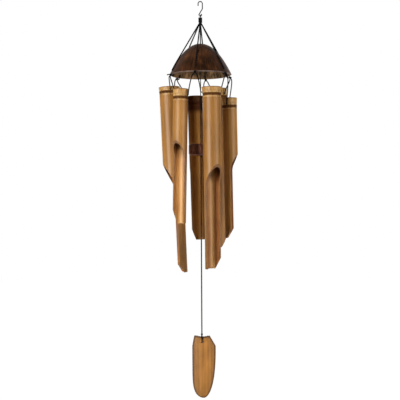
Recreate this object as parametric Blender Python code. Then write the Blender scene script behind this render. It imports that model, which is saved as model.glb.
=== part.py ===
"""Bamboo wind chime: a half coconut shell on a wire hook, six bamboo tubes on cord slings,
a wooden clapper and a split bamboo sail. Metres, +Z up, origin where the hook bears."""

import math
from dataclasses import dataclass

import bmesh
import bpy
import numpy as np
from mathutils import Matrix, Vector

# Cord and fits
GAP = 0.0003            # clearance between two pieces that touch
CORD = 0.0015           # diameter of the black cord
HOLE_SLACK = 0.0006     # play of a cord in its hole, all round
KNOT_RADIUS = 0.0024

# Wire hook
HOOK_WIRE = 0.0020
HOOK_BEND = 0.0041      # radius of the upper bend, at the middle of the wire
HOOK_EYE = 0.0025       # radius of the lower eye, at the middle of the wire
HOOK_REACH = 0.0215     # from the middle of the bend to the middle of the eye
HOOK_TIP = 0.0042       # straight end past the bend
HOOK_SIDE = 0.0100      # straight side under the bend, before the slanting shank

# Whipping that gathers the cords
WHIP_THREAD = 0.0007
WHIP_PITCH = 0.00115
WHIP_TURNS = 8
WHIP_DROP = 0.0014      # from the hook's eye down to the first turn
LEAST_TURN_GAP = 0.0004

# Coconut half shell
SHELL_DROP = 0.0409     # from the whipping down to the apex
SHELL_RADIUS = 0.0593
SHELL_HEIGHT = 0.0591
SHELL_POWER = 2.1       # 2 is a parabola, and a larger power has a blunter top
SHELL_WALL = 0.0040
RIM_MARGIN = 0.0064     # from a rim hole down the wall to the cut edge
FIRST_KNOT = math.radians(20)

# Bamboo tubes
HOLE_ABOVE_NODE = 0.0045
SEPTUM = 0.0030
NODE_RIDGE = 0.0006
NODE_GROOVE = 0.0005
NODE_UPPER = 0.0035     # from the groove up to where its swelling starts
NODE_CREST = 0.0015
NODE_EDGE = 0.0007      # from the groove to the edge of a ridge
NODE_LOWER = 0.0045     # from the groove down to where its swelling ends
TAPER = 0.03            # share of the radius lost towards the lower end
SCOOP_SLOPE = math.radians(63)
SCOOP_FILLET = 0.030
LEG_LEAD = 0.0020       # straight start of a leg at its knot
LEG_BEND = 0.0016       # bend of a leg into the tube's hole

# Clapper line
CLAPPER_DROP = 0.2030   # from the shell's apex to the middle of the clapper
CLAPPER_RADIUS = 0.0235
CLAPPER_THICK = 0.0205
CLAPPER_ROUND = 0.0030

# Sail line
SAIL_LINE = 0.3420      # from the clapper's knot to the sail's knot
SAIL_LENGTH = 0.1183
SAIL_LEFT = 0.0186      # reach of the sail to the left of its cord
SAIL_RIGHT = 0.0265
SAIL_TOP_LEFT = 0.0150
SAIL_TOP_RIGHT = 0.0155
SAIL_SHOULDER = 0.0198  # height of the cut corners at the top
SAIL_TIP = 0.0031       # how far right of the cord the lower tip lies
SAIL_LEFT_POWER = 7.5   # a larger power keeps that side straight for longer
SAIL_RIGHT_POWER = 2.6
SAIL_BOW = 0.0400       # outer radius of the bamboo that the sail is split from
SAIL_WALL = 0.0045
SAIL_HOLE_DROP = 0.0120
SAIL_NOTCH = 0.0018

# Facets
ROUND_TUBE = 24
ROUND_SHELL = 36
SHELL_RINGS = 10
ROUND_CLAPPER = 30
ROUND_KNOT = 10
TURN_POINTS = 18


@dataclass
class Tube:
    """One bamboo tube. Its angles are in degrees, and its heights run down from the shell's rim."""

    place: str
    drop: float         # from the rim to the tube's top
    diameter: float
    wall: float
    flare: float        # how far the top edge swells out
    length: float
    node: float         # from the top to the node ring
    scoop: float        # from the top to the start of the scoop
    floor: float        # how far outside the tube's middle the scoop stops
    facing: float       # turn of the scoop from straight outwards
    slant: float        # slope of the cut across the tongue's tip
    slant_turn: float   # turn of that cut from the scoop
    tip: float          # depth of the flat at the tongue's tip
    inset: float        # from the tube's middle in to the line through its holes
    splay: float        # how far the sling leans out past the rim knots
    side: float         # how far the tube has slid along its sling
    lean_out: float
    lean_side: float


# Counterclockwise from the back right, seen from above
TUBES = (
    Tube(
        "back_right", 0.0211, 0.0290, 0.0026, 0.0006, 0.3120, 0.0170, 0.128, 0.0000,
        0, 63, 0, 0.0045, 0.0035, 0.0014, 0.0000, 0.5, 0.0,
    ),
    Tube(
        "back", 0.0346, 0.0300, 0.0026, 0.0006, 0.2840, 0.0150, 0.116, -0.0010,
        -5, 67, 70, 0.0196, 0.0040, 0.0019, -0.0094, 0.0, -1.5,
    ),
    Tube(
        "left", 0.0222, 0.0390, 0.0034, 0.0010, 0.3575, 0.0105, 0.147, -0.0027,
        18, 61, 0, 0.0090, 0.0060, 0.0029, 0.0000, -2.4, 0.0,
    ),
    Tube(
        "front_left", 0.0329, 0.0280, 0.0024, 0.0005, 0.2510, 0.0168, 0.097, 0.0014,
        3, 68, -33, 0.0123, 0.0035, 0.0024, 0.0000, 1.8, 0.0,
    ),
    Tube(
        "front_right", 0.0309, 0.0340, 0.0029, 0.0020, 0.3380, 0.0138, 0.143, 0.0000,
        16, 61, 46, 0.0175, 0.0050, 0.0029, 0.0000, 0.0, 0.5,
    ),
    Tube(
        "right", 0.0464, 0.0280, 0.0025, 0.0006, 0.2670, 0.0166, 0.106, 0.0010,
        0, 60, 0, 0.0045, 0.0030, 0.0004, 0.0000, 1.0, 0.0,
    ),
)

# Worked out from the sizes above
CORD_SEAT = GAP + CORD / 2
PASS_RADIUS = CORD / 2 + HOLE_SLACK
BEND_Z = HOOK_WIRE / 2 - HOOK_BEND
EYE_Z = BEND_Z - HOOK_REACH
EYE_FLOOR = EYE_Z - HOOK_EYE
BUNDLE = CORD + GAP
WHIP_RADIUS = BUNDLE + CORD_SEAT + WHIP_THREAD / 2
WHIP_TOP = EYE_FLOOR - HOOK_WIRE / 2 - WHIP_DROP
WHIP_END = WHIP_TOP - WHIP_TURNS * WHIP_PITCH - WHIP_THREAD
WHIP_MIDDLE = (WHIP_TOP + WHIP_END) / 2
APEX_Z = WHIP_END - SHELL_DROP
RIM_Z = APEX_Z - SHELL_HEIGHT
SPACING = 2 * math.pi / len(TUBES)
APEX_KNOT_Z = APEX_Z - SHELL_WALL - GAP - KNOT_RADIUS
CLAPPER_Z = APEX_Z - CLAPPER_DROP
CLAPPER_KNOT_Z = CLAPPER_Z - CLAPPER_THICK / 2 - GAP - KNOT_RADIUS
SAIL_KNOT_Z = CLAPPER_KNOT_Z - SAIL_LINE
SAIL_TOP_Z = SAIL_KNOT_Z - KNOT_RADIUS - 2 * GAP - CORD + SAIL_NOTCH


def finish(name, colour, roughness, metallic=0.0):
    """A material with one colour, roughness and metallic value."""
    made = bpy.data.materials.new(name)
    made.use_nodes = True
    shader = made.node_tree.nodes["Principled BSDF"]
    shader.inputs["Base Color"].default_value = (*colour, 1.0)
    shader.inputs["Roughness"].default_value = roughness
    shader.inputs["Metallic"].default_value = metallic
    return made


def pivot(name, at, parent=None):
    """An empty on a joint's axis, placed in world coordinates."""
    made = bpy.data.objects.new(name, None)
    made["at"] = at
    made.parent = parent
    made.location = Vector(at) - Vector(parent["at"]) if parent else at
    bpy.context.collection.objects.link(made)
    return made


def place(name, data, parent, look=None):
    """An object for a mesh or curve whose points are relative to its parent empty."""
    made = bpy.data.objects.new(name, data)
    made.parent = parent
    if look:
        data.materials.append(look)
    bpy.context.collection.objects.link(made)
    return made


def cutter(name, data, parent):
    """A wire shape that only cuts another one."""
    made = place(name, data, parent)
    made.hide_render = True
    made.display_type = "WIRE"
    return made


def cut(target, tool):
    """Takes a cutter's shape out of a piece."""
    made = target.modifiers.new(tool.name, "BOOLEAN")
    made.operation = "DIFFERENCE"
    made.solver = "EXACT"
    made.object = tool


def mesh_of(name, bm, smooth=True):
    """A mesh from a bmesh, with its faces turned out."""
    bmesh.ops.recalc_face_normals(bm, faces=bm.faces)
    mesh = bpy.data.meshes.new(name)
    bm.to_mesh(mesh)
    bm.free()
    if smooth:
        mesh.shade_smooth()
        mesh.set_sharp_from_angle(angle=math.radians(35))
    return mesh


def turned(name, profile, sides):
    """A turned solid. The profile is (radius, z) points from one point on the axis to another."""
    bm = bmesh.new()
    angles = [2 * math.pi * side / sides for side in range(sides)]
    rings = []
    for radius, z in profile[1:-1]:
        rings.append([bm.verts.new((radius * math.cos(a), radius * math.sin(a), z)) for a in angles])
    for upper, lower in zip(rings, rings[1:]):
        for k in range(sides):
            bm.faces.new((upper[k - 1], lower[k - 1], lower[k], upper[k]))
    for ring, (_, z) in ((rings[0], profile[0]), (rings[-1], profile[-1])):
        pole = bm.verts.new((0, 0, z))
        for k in range(sides):
            bm.faces.new((pole, ring[k - 1], ring[k]))
    return mesh_of(name, bm)


def rod(bm, radius, start, end, sides=12):
    """Adds a straight round bar between two points to a bmesh."""
    along = Vector(end) - Vector(start)
    turn = along.to_track_quat("Z", "Y").to_matrix().to_4x4()
    middle = Matrix.Translation((Vector(start) + Vector(end)) / 2)
    bmesh.ops.create_cone(
        bm, cap_ends=True, segments=sides, radius1=radius, radius2=radius,
        depth=along.length, matrix=middle @ turn,
    )


def ball(name, radius):
    """A round knot about its own middle."""
    rows = 7
    steep = [math.pi * row / rows for row in range(rows + 1)]
    return turned(name, [(radius * math.sin(s), radius * math.cos(s)) for s in steep], ROUND_KNOT)


def cord(name, points, diameter, closed=False, resolution=2):
    """A round cord along points."""
    data = bpy.data.curves.new(name, "CURVE")
    data.dimensions = "3D"
    data.bevel_depth = diameter / 2
    data.bevel_resolution = resolution
    data.use_fill_caps = True
    spline = data.splines.new("POLY")
    spline.points.add(len(points) - 1)
    for point, at in zip(spline.points, points):
        point.co = (*at, 1.0)
    spline.use_cyclic_u = closed
    spline.use_smooth = True
    return data


def rounded(points, radius, steps=4):
    """A line with its corners turned into short curves of about the radius given."""
    line = [np.asarray(point, float) for point in points]
    made = [line[0]]
    for before, corner, after in zip(line, line[1:], line[2:]):
        back, ahead = before - corner, after - corner
        reach = min(np.linalg.norm(back), np.linalg.norm(ahead)) * 0.48
        straight = np.dot(back, ahead) / (np.linalg.norm(back) * np.linalg.norm(ahead))
        half_turn = (math.pi - math.acos(max(-1.0, min(1.0, straight)))) / 2
        reach = min(reach, radius * math.tan(half_turn))
        start = corner + back / np.linalg.norm(back) * reach
        end = corner + ahead / np.linalg.norm(ahead) * reach
        for t in np.linspace(0, 1, steps):
            made.append((1 - t) ** 2 * start + 2 * t * (1 - t) * corner + t**2 * end)
    made.append(line[-1])
    return made


def spaced(start, end, count):
    """Points along a straight line, without its last point."""
    return [np.asarray(start) + (np.asarray(end) - start) * k / count for k in range(count)]


def bearing(angle, radius, z):
    """A point at an angle about the chime's axis."""
    return np.array((radius * math.cos(angle), radius * math.sin(angle), z))


def hook_line():
    """The middle of the hook's wire: a bend open at the left, a side, a slanting shank and an eye."""
    upper = [math.radians(a) for a in range(180, -1, -15)]
    lower = [math.radians(a) for a in range(150, 406, 15)]
    tip = [(-HOOK_BEND, 0, BEND_Z - HOOK_TIP * k / 2) for k in (2, 1)]
    bend = [(HOOK_BEND * math.cos(a), 0, BEND_Z + HOOK_BEND * math.sin(a)) for a in upper]
    eye = [(HOOK_EYE * math.cos(a), 0, EYE_Z + HOOK_EYE * math.sin(a)) for a in lower]
    side = (HOOK_BEND, 0, BEND_Z - HOOK_SIDE)
    shank = rounded([bend[-1], side, eye[0]], HOOK_BEND, 6)[1:-1]
    return tip + bend + shank + eye


def loop_line():
    """The cord loop: up from the whipping, over the wire of the eye and down again."""
    radius = HOOK_WIRE / 2 + CORD_SEAT
    over = [math.radians(a) for a in range(0, 181, 20)]
    arch = [(0, radius * math.cos(a), EYE_FLOOR + radius * math.sin(a)) for a in over]
    ends = [(0, BUNDLE, WHIP_MIDDLE), (0, BUNDLE, WHIP_TOP)]
    return ends + arch + [(0, -y, z) for _, y, z in reversed(ends)]


def whipping_line():
    """The winding round the gathered cords, with a straight end at each side."""
    turns = np.arange(WHIP_TURNS * TURN_POINTS + 1) / TURN_POINTS
    around = 2 * math.pi * turns
    heights = WHIP_TOP - WHIP_THREAD / 2 - WHIP_PITCH * turns
    points = np.column_stack((WHIP_RADIUS * np.cos(around), WHIP_RADIUS * np.sin(around), heights))
    first = points[0] + (0, -WHIP_THREAD, 0)
    last = points[-1] + (0, WHIP_THREAD, 0)
    return np.vstack((first, points, last))


def turn_gap(points, diameter):
    """The least gap between the turns of a winding, measured on its points."""
    near = TURN_POINTS // 2
    apart = np.linalg.norm(points[:, None] - points[None], axis=2)
    index = np.arange(len(points))
    apart[np.abs(index[:, None] - index[None]) < near] = np.inf
    return apart.min() - diameter


def shell_point(radius, lift=0.0):
    """(radius, z) on the shell's outer face, moved out from it by a lift."""
    share = radius / SHELL_RADIUS
    slope = SHELL_POWER * SHELL_HEIGHT / SHELL_RADIUS * share ** (SHELL_POWER - 1)
    steep = math.hypot(slope, 1)
    depth = SHELL_HEIGHT * share**SHELL_POWER
    return np.array((radius + lift * slope / steep, APEX_Z - depth + lift / steep))


def rim_frame():
    """A rim hole's place on the shell's outer face, and the directions down and out from the wall."""
    edge = shell_point(SHELL_RADIUS)
    out = (shell_point(SHELL_RADIUS, 1.0) - edge) / 1.0
    down = np.array((out[1], -out[0]))
    return edge - down * RIM_MARGIN, down, out


def wall_point(down, out):
    """(radius, z) at a distance down the wall from a rim hole and out from the outer face."""
    hole, down_way, out_way = rim_frame()
    return hole + down * down_way + out * out_way


KNOT_DOWN = RIM_MARGIN + GAP + KNOT_RADIUS
KNOT_RING, KNOT_Z = wall_point(KNOT_DOWN, 0)
CHORD = KNOT_RING * math.cos(SPACING / 2)


def canopy_line(angle):
    """A cord from the whipping over the shell, in through a rim hole and out to its knot under the edge."""
    start = np.array((BUNDLE, WHIP_MIDDLE - GAP))
    leave = np.array((BUNDLE, WHIP_END - CORD))
    hole_radius = rim_frame()[0][0]
    lying = np.array([shell_point(r, CORD_SEAT) for r in np.linspace(0.3, 0.98, 60) * hole_radius])
    spread = (lying[:, 0] - leave[0]) / (leave[1] - lying[:, 1])
    touch = int(spread.argmax())
    inside = -SHELL_WALL - CORD_SEAT
    tied = [lying[-1], wall_point(0, CORD_SEAT), wall_point(0, inside), wall_point(KNOT_DOWN, inside)]
    tied.append(wall_point(KNOT_DOWN, -KNOT_RADIUS - GAP))
    hanging = rounded([start, leave, lying[touch]], 2 * CORD)[:-1]
    taut = spaced(hanging[-1], lying[touch], 9)[1:]
    route = hanging + taut + list(lying[touch:-1:4]) + rounded(tied, 0.7 * CORD)
    return [bearing(angle, radius, z) for radius, z in route]


def knot_at(index):
    """The middle of a rim knot."""
    return bearing(FIRST_KNOT + index * SPACING, KNOT_RING, KNOT_Z)


def hole_frame(index):
    """The frame of a tube's holes: x outwards, y along the line through the holes."""
    tube = TUBES[index]
    angle = FIRST_KNOT + (index + 0.5) * SPACING
    hole_z = RIM_Z - tube.drop - tube.node + HOLE_ABOVE_NODE
    slid = bearing(angle + math.pi / 2, tube.side, 0)
    at = Matrix.Translation(bearing(angle, CHORD + tube.splay, hole_z) + slid)
    return at @ Matrix.Rotation(angle, 4, "Z") @ Matrix.Rotation(math.radians(tube.lean_side), 4, "X")


def leg_line(index, side):
    """One leg of a sling, from its knot to the middle of the tube. Side is -1 or 1 along the holes."""
    tube, frame = TUBES[index], hole_frame(index)
    angle = FIRST_KNOT + (index + 0.5 + side / 2) * SPACING
    out, around = bearing(angle, 1, 0), bearing(angle + math.pi / 2, 1, 0)
    lead = np.array((0, 0, -0.70)) + 0.35 * out - 0.62 * side * around
    lead /= np.linalg.norm(lead)
    knot = bearing(angle, KNOT_RING, KNOT_Z)
    start = knot + lead * (KNOT_RADIUS + GAP)
    leave = start + lead * LEG_LEAD
    reach = tube.diameter / 2 + tube.flare + CORD_SEAT + GAP
    bend = [math.radians(a) for a in range(0, 91, 30)]
    inward = reach - LEG_BEND
    curve = [(inward + LEG_BEND * math.cos(a), LEG_BEND * (1 - math.sin(a))) for a in bend]
    curve += [(inward * k, 0) for k in (0.66, 0.33)]
    low = [np.array(frame @ Vector((0, side * y, z))) for y, z in curve]
    falling = np.array(frame.to_3x3() @ Vector((0, 0, -1)))
    stride = np.linalg.norm(low[0] - leave)
    route = [start]
    for t in np.linspace(0, 1, 9)[:-1]:
        ease = (2 * t**3 - 3 * t**2 + 1, t**3 - 2 * t**2 + t, 3 * t**2 - 2 * t**3, t**3 - t**2)
        pull = stride * (ease[1] * 0.4 * lead + ease[3] * 0.6 * falling)
        route.append(ease[0] * leave + ease[2] * low[0] + pull)
    return route + low


def sling_line(index):
    """A tube's cord: down from one knot, through the tube and up to the next knot."""
    middle = [np.array(hole_frame(index).translation)]
    return leg_line(index, -1) + middle + leg_line(index, 1)[::-1]


def tube_profile(tube):
    """(radius, z) round a tube's wall from the septum's top to its underside, with z from the node."""
    radius, inner = tube.diameter / 2, tube.diameter / 2 - tube.wall
    top, end = tube.node, tube.node - tube.length
    lower = radius * (1 - TAPER)
    cup = [(0, SEPTUM / 2), (inner - tube.wall / 2, SEPTUM / 2), (inner, SEPTUM)]
    lip = [(inner, top), (radius + tube.flare, top), (radius + tube.flare / 2, top * 0.6)]
    crest = radius + NODE_RIDGE
    ring = [(radius, NODE_UPPER), (crest, NODE_CREST), (crest, NODE_EDGE), (radius - NODE_GROOVE, 0)]
    ring += [(radius + NODE_RIDGE / 2, -NODE_EDGE), (radius, -NODE_LOWER)]
    bore = [(lower, end), (lower - tube.wall, end), (inner, -2 * SEPTUM)]
    return cup + lip + ring + bore + [(inner - tube.wall / 2, -SEPTUM / 2), (0, -SEPTUM / 2)]


def scoop_outline(tube):
    """The side view of a scoop, as (distance outwards from the tube's middle, z from the node)."""
    radius, slope = tube.diameter / 2, math.tan(SCOOP_SLOPE)
    start, end = tube.node - tube.scoop, tube.node - tube.length
    beyond = tube.wall
    top = (radius + 2 * beyond, start + 2 * beyond * slope)
    corner = (tube.floor, start - (radius - tube.floor) * slope)
    under = (tube.floor, end - beyond)
    return rounded([top, corner, under], SCOOP_FILLET, 7) + [(top[0], under[1])]


def slant_outline(tube):
    """The side view of the cut across the tongue's tip, measured as the scoop's is."""
    radius, slope = tube.diameter / 2, math.tan(math.radians(tube.slant))
    end, beyond = tube.node - tube.length, tube.wall
    low, out = tube.tip - radius - beyond, radius + beyond
    under = end - beyond * slope
    return [(low, under), (out, under + (out - low) * slope), (out, under)]


def prism_mesh(name, outline, half):
    """A prism with the same side view all the way across."""
    bm = bmesh.new()
    near = [bm.verts.new((out, -half, z)) for out, z in outline]
    far = [bm.verts.new((out, half, z)) for out, z in outline]
    bm.faces.new(near)
    bm.faces.new(far)
    for k in range(len(outline)):
        bm.faces.new((near[k - 1], near[k], far[k], far[k - 1]))
    bmesh.ops.triangulate(bm, faces=[face for face in bm.faces if len(face.verts) > 4])
    return mesh_of(name, bm, smooth=False)


def hole_mesh(name, start, end, radius=PASS_RADIUS):
    """A bar that drills one straight hole."""
    bm = bmesh.new()
    rod(bm, radius, start, end)
    return mesh_of(name, bm)


def make_tube(index, parent, look):
    """A bamboo tube: a turned culm with a closed node, scooped, cut to a slanted tip and drilled."""
    tube = TUBES[index]
    frame = hole_frame(index)
    turn = frame.to_3x3() @ Matrix.Rotation(math.radians(-tube.lean_out), 3, "Y")
    middle = turn @ Vector((tube.inset, 0, -HOLE_ABOVE_NODE))
    across = tube.diameter
    name = "tube_" + tube.place
    culm = place(name, turned(name, tube_profile(tube), ROUND_TUBE), parent, look)
    culm.location = middle
    culm.rotation_euler = turn.to_euler()
    for kind, outline, degrees in (
        ("scoop_", scoop_outline(tube), tube.facing),
        ("slant_", slant_outline(tube), tube.facing + tube.slant_turn),
    ):
        tool = cutter(kind + tube.place, prism_mesh(kind + tube.place, outline, across), parent)
        tool.location = middle
        tool.rotation_euler = (turn @ Matrix.Rotation(math.radians(degrees), 3, "Z")).to_euler()
        cut(culm, tool)
    drill = hole_mesh("drill_" + tube.place, (0, -across, 0), (0, across, 0))
    holes = cutter("drill_" + tube.place, drill, parent)
    holes.rotation_euler = turn.to_euler()
    cut(culm, holes)
    return culm


def make_shell(parent, look):
    """The half shell: a turned wall with an apex hole and a ring of rim holes."""
    radii = SHELL_RADIUS * np.linspace(0, 1, SHELL_RINGS)
    outer = [shell_point(r) for r in radii]
    inner = [shell_point(r, -SHELL_WALL) for r in radii[::-1]]
    home = np.array(parent["at"])
    profile = [(radius, z - home[2]) for radius, z in outer + inner]
    shell = place("coconut_shell", turned("coconut_shell", profile, ROUND_SHELL), parent, look)
    bm = bmesh.new()
    top = Vector((0, 0, APEX_Z)) - Vector(home)
    rod(bm, PASS_RADIUS, top + Vector((0, 0, SHELL_WALL)), top - Vector((0, 0, 2 * SHELL_WALL)))
    for index in range(len(TUBES)):
        angle = FIRST_KNOT + index * SPACING
        ends = [bearing(angle, *wall_point(0, out)) - home for out in (SHELL_WALL, -2 * SHELL_WALL)]
        rod(bm, PASS_RADIUS, *ends)
    cut(shell, cutter("shell_drill", mesh_of("shell_drill", bm), parent))
    return shell


def sail_sides(depth):
    """The sail's left and right reach at a depth below its top edge."""
    if depth <= SAIL_SHOULDER:
        share = depth / SAIL_SHOULDER
        left = SAIL_TOP_LEFT + (SAIL_LEFT - SAIL_TOP_LEFT) * share
        right = SAIL_TOP_RIGHT + (SAIL_RIGHT - SAIL_TOP_RIGHT) * share
        return -left, right
    share = (depth - SAIL_SHOULDER) / (SAIL_LENGTH - SAIL_SHOULDER)
    left = math.sqrt(1 - share**SAIL_LEFT_POWER) * (SAIL_LEFT + SAIL_TIP)
    right = math.sqrt(1 - share**SAIL_RIGHT_POWER) * (SAIL_RIGHT - SAIL_TIP)
    return SAIL_TIP - left, SAIL_TIP + right


def sail_mesh():
    """A slice of a thick bamboo wall: rows from the top edge to the tip, bowed towards the front."""
    tip_share = 0.994
    fall = np.sin(np.linspace(0, 1, 12) * math.pi / 2) * tip_share
    depths = [0, SAIL_SHOULDER / 2]
    depths += [SAIL_SHOULDER + (SAIL_LENGTH - SAIL_SHOULDER) * share for share in fall]
    across = np.linspace(0, 1, 9)
    centre = (SAIL_RIGHT - SAIL_LEFT) / 2
    seat = math.sqrt(SAIL_BOW**2 - centre**2) - SAIL_WALL / 2
    bm = bmesh.new()
    faces = []
    for radius in (SAIL_BOW, SAIL_BOW - SAIL_WALL):
        rows = []
        for depth in depths:
            left, right = sail_sides(depth)
            row = []
            for x in left + (right - left) * across:
                lean = math.asin((x - centre) / SAIL_BOW)
                point = (centre + radius * math.sin(lean), seat - radius * math.cos(lean))
                row.append(bm.verts.new((*point, SAIL_TOP_Z - SAIL_KNOT_Z - depth)))
            rows.append(row)
        faces.append(rows)
        for upper, lower in zip(rows, rows[1:]):
            for k in range(1, len(across)):
                bm.faces.new((upper[k - 1], lower[k - 1], lower[k], upper[k]))
    rims = []
    for rows in faces:
        right_edge = [row[-1] for row in rows[1:-1]]
        left_edge = [row[0] for row in rows[-2:0:-1]]
        rims.append(rows[0] + right_edge + rows[-1][::-1] + left_edge)
    front, back = rims
    for k in range(len(front)):
        bm.faces.new((front[k - 1], front[k], back[k], back[k - 1]))
    return mesh_of("sail", bm)


def make_sail(parent, look):
    """The sail, with a hole and a notch for its loop."""
    sail = place("sail", sail_mesh(), parent, look)
    top = SAIL_TOP_Z - SAIL_KNOT_Z
    thick = 3 * SAIL_WALL
    for name, z, radius in (
        ("sail_hole", top - SAIL_HOLE_DROP, PASS_RADIUS),
        ("sail_notch", top - SAIL_NOTCH + CORD_SEAT + GAP, CORD_SEAT + GAP),
    ):
        cut(sail, cutter(name, hole_mesh(name, (0, -thick, z), (0, thick, z), radius), parent))
    return sail


def sail_loop_line():
    """The closed loop through the sail's hole and over the notch in its top edge."""
    top = SAIL_TOP_Z - SAIL_KNOT_Z - SAIL_NOTCH + CORD_SEAT
    low = SAIL_TOP_Z - SAIL_KNOT_Z - SAIL_HOLE_DROP
    half = SAIL_WALL / 2 + 2 * CORD_SEAT
    corners = [(0, 0, top), (0, half, top), (0, half, low), (0, -half, low), (0, -half, top), (0, 0, top)]
    return rounded(corners, 1.2 * CORD)[1:]


def clapper_profile():
    """(radius, z) of the clapper, with rounded edges."""
    half, rim = CLAPPER_THICK / 2, CLAPPER_RADIUS - CLAPPER_ROUND
    turn = [math.radians(a) for a in (90, 60, 30, 0)]
    shoulder = half - CLAPPER_ROUND
    upper = [(rim + CLAPPER_ROUND * math.cos(a), shoulder + CLAPPER_ROUND * math.sin(a)) for a in turn]
    lower = [(radius, -z) for radius, z in reversed(upper)]
    return [(0, half), (rim / 2, half)] + upper + lower + [(rim / 2, -half), (0, -half)]


def relative(points, parent):
    """Points measured from a parent empty."""
    return [np.asarray(point) - np.array(parent["at"]) for point in points]


def make_chime():
    """Builds every piece, each under the empty of the joint that moves it."""
    black = finish("black_cord", (0.015, 0.015, 0.017), 0.75)
    wire = finish("bright_wire", (0.62, 0.62, 0.60), 0.28, 1.0)
    husk = finish("coconut", (0.045, 0.020, 0.010), 0.45)
    bamboo = finish("bamboo", (0.50, 0.27, 0.09), 0.42)
    dark_wood = finish("dark_wood", (0.045, 0.015, 0.011), 0.5)
    split = finish("split_bamboo", (0.42, 0.19, 0.06), 0.45)

    place("s_hook", cord("s_hook", hook_line(), HOOK_WIRE, resolution=3), None, wire)

    hanger = pivot("hanger_pivot", (0.0, 0.0, EYE_FLOOR))
    place("hanger_loop", cord("hanger_loop", relative(loop_line(), hanger), CORD), hanger, black)
    winding = whipping_line()
    gap = turn_gap(winding, WHIP_THREAD)
    print(f"whipping: least gap between turns {gap * 1000:.2f} mm, wanted over {LEAST_TURN_GAP * 1000:.2f}")
    thread = cord("whipping", relative(winding, hanger), WHIP_THREAD, resolution=1)
    place("whipping", thread, hanger, black)
    make_shell(hanger, husk)
    for index in range(len(TUBES)):
        name = f"canopy_cord_{index + 1}"
        line = canopy_line(FIRST_KNOT + index * SPACING)
        place(name, cord(name, relative(line, hanger), CORD), hanger, black)
        name = f"rim_knot_{index + 1}"
        knot = place(name, ball(name, KNOT_RADIUS), hanger, black)
        knot.location = relative([knot_at(index)], hanger)[0]
    plumb = spaced((0, 0, WHIP_MIDDLE - GAP), (0, 0, APEX_KNOT_Z + KNOT_RADIUS + GAP), 8)
    plumb.append((0, 0, APEX_KNOT_Z + KNOT_RADIUS + GAP))
    place("center_cord", cord("center_cord", relative(plumb, hanger), CORD), hanger, black)

    for index, tube in enumerate(TUBES):
        ends = knot_at(index), knot_at(index + 1)
        sling = pivot("sling_pivot_" + tube.place, tuple((ends[0] + ends[1]) / 2), hanger)
        name = "sling_" + tube.place
        place(name, cord(name, relative(sling_line(index), sling), CORD), sling, black)
        holes = pivot("tube_pivot_" + tube.place, tuple(hole_frame(index).translation), sling)
        make_tube(index, holes, bamboo)

    swing = pivot("clapper_pivot", (0.0, 0.0, APEX_KNOT_Z), hanger)
    place("apex_knot", ball("apex_knot", KNOT_RADIUS), swing, black)
    line_ends = (0, 0, -KNOT_RADIUS - GAP), (0, 0, CLAPPER_KNOT_Z - APEX_KNOT_Z + KNOT_RADIUS + GAP)
    plumb = spaced(*line_ends, 16) + [line_ends[1]]
    place("clapper_cord", cord("clapper_cord", plumb, CORD), swing, black)
    clapper = place("clapper", turned("clapper", clapper_profile(), ROUND_CLAPPER), swing, dark_wood)
    clapper.location = (0, 0, CLAPPER_Z - APEX_KNOT_Z)
    bore = hole_mesh("clapper_drill", (0, 0, -CLAPPER_THICK), (0, 0, CLAPPER_THICK))
    drill = cutter("clapper_drill", bore, swing)
    drill.location = clapper.location
    cut(clapper, drill)

    lower = pivot("sail_line_pivot", (0.0, 0.0, CLAPPER_KNOT_Z), swing)
    place("clapper_knot", ball("clapper_knot", KNOT_RADIUS), lower, black)
    line_ends = (0, 0, -KNOT_RADIUS - GAP), (0, 0, KNOT_RADIUS + GAP - SAIL_LINE)
    plumb = spaced(*line_ends, 20) + [line_ends[1]]
    place("sail_cord", cord("sail_cord", plumb, CORD), lower, black)

    turning = pivot("sail_pivot", (0.0, 0.0, SAIL_KNOT_Z), lower)
    place("sail_knot", ball("sail_knot", KNOT_RADIUS), turning, black)
    place("sail_loop", cord("sail_loop", sail_loop_line(), CORD, closed=True), turning, black)
    make_sail(turning, split)


def main():
    for old in list(bpy.data.objects):
        bpy.data.objects.remove(old, do_unlink=True)
    make_chime()


main()
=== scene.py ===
"""Looks of a bamboo wind chime: cords, coconut shell, scooped tubes, clapper and sail over its frame."""

import math
from functools import cached_property
from typing import NamedTuple

import bmesh
import bpy
import numpy as np
from bpy.props import FloatProperty, FloatVectorProperty, IntProperty, PointerProperty
from mathutils import Matrix, Vector


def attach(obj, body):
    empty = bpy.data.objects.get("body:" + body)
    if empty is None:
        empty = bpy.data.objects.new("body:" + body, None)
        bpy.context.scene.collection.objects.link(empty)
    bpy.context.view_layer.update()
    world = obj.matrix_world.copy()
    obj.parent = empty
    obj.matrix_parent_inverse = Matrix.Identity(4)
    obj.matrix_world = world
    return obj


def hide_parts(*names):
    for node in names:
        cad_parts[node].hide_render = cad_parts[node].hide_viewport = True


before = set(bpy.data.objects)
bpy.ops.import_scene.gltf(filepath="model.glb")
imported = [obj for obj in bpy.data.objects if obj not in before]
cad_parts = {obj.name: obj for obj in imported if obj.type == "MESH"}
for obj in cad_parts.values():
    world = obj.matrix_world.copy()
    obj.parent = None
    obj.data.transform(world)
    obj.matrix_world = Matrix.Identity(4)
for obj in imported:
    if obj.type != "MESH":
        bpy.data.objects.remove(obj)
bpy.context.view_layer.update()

bl_info = {
    "name": "Bamboo wind chime",
    "version": (1, 0, 0),
    "blender": (4, 5, 0),
    "location": "3D View > Sidebar > Chime",
    "description": "Dresses a bamboo wind chime with cord, shell, tubes, clapper and sail",
    "category": "Add Mesh",
}

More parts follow.
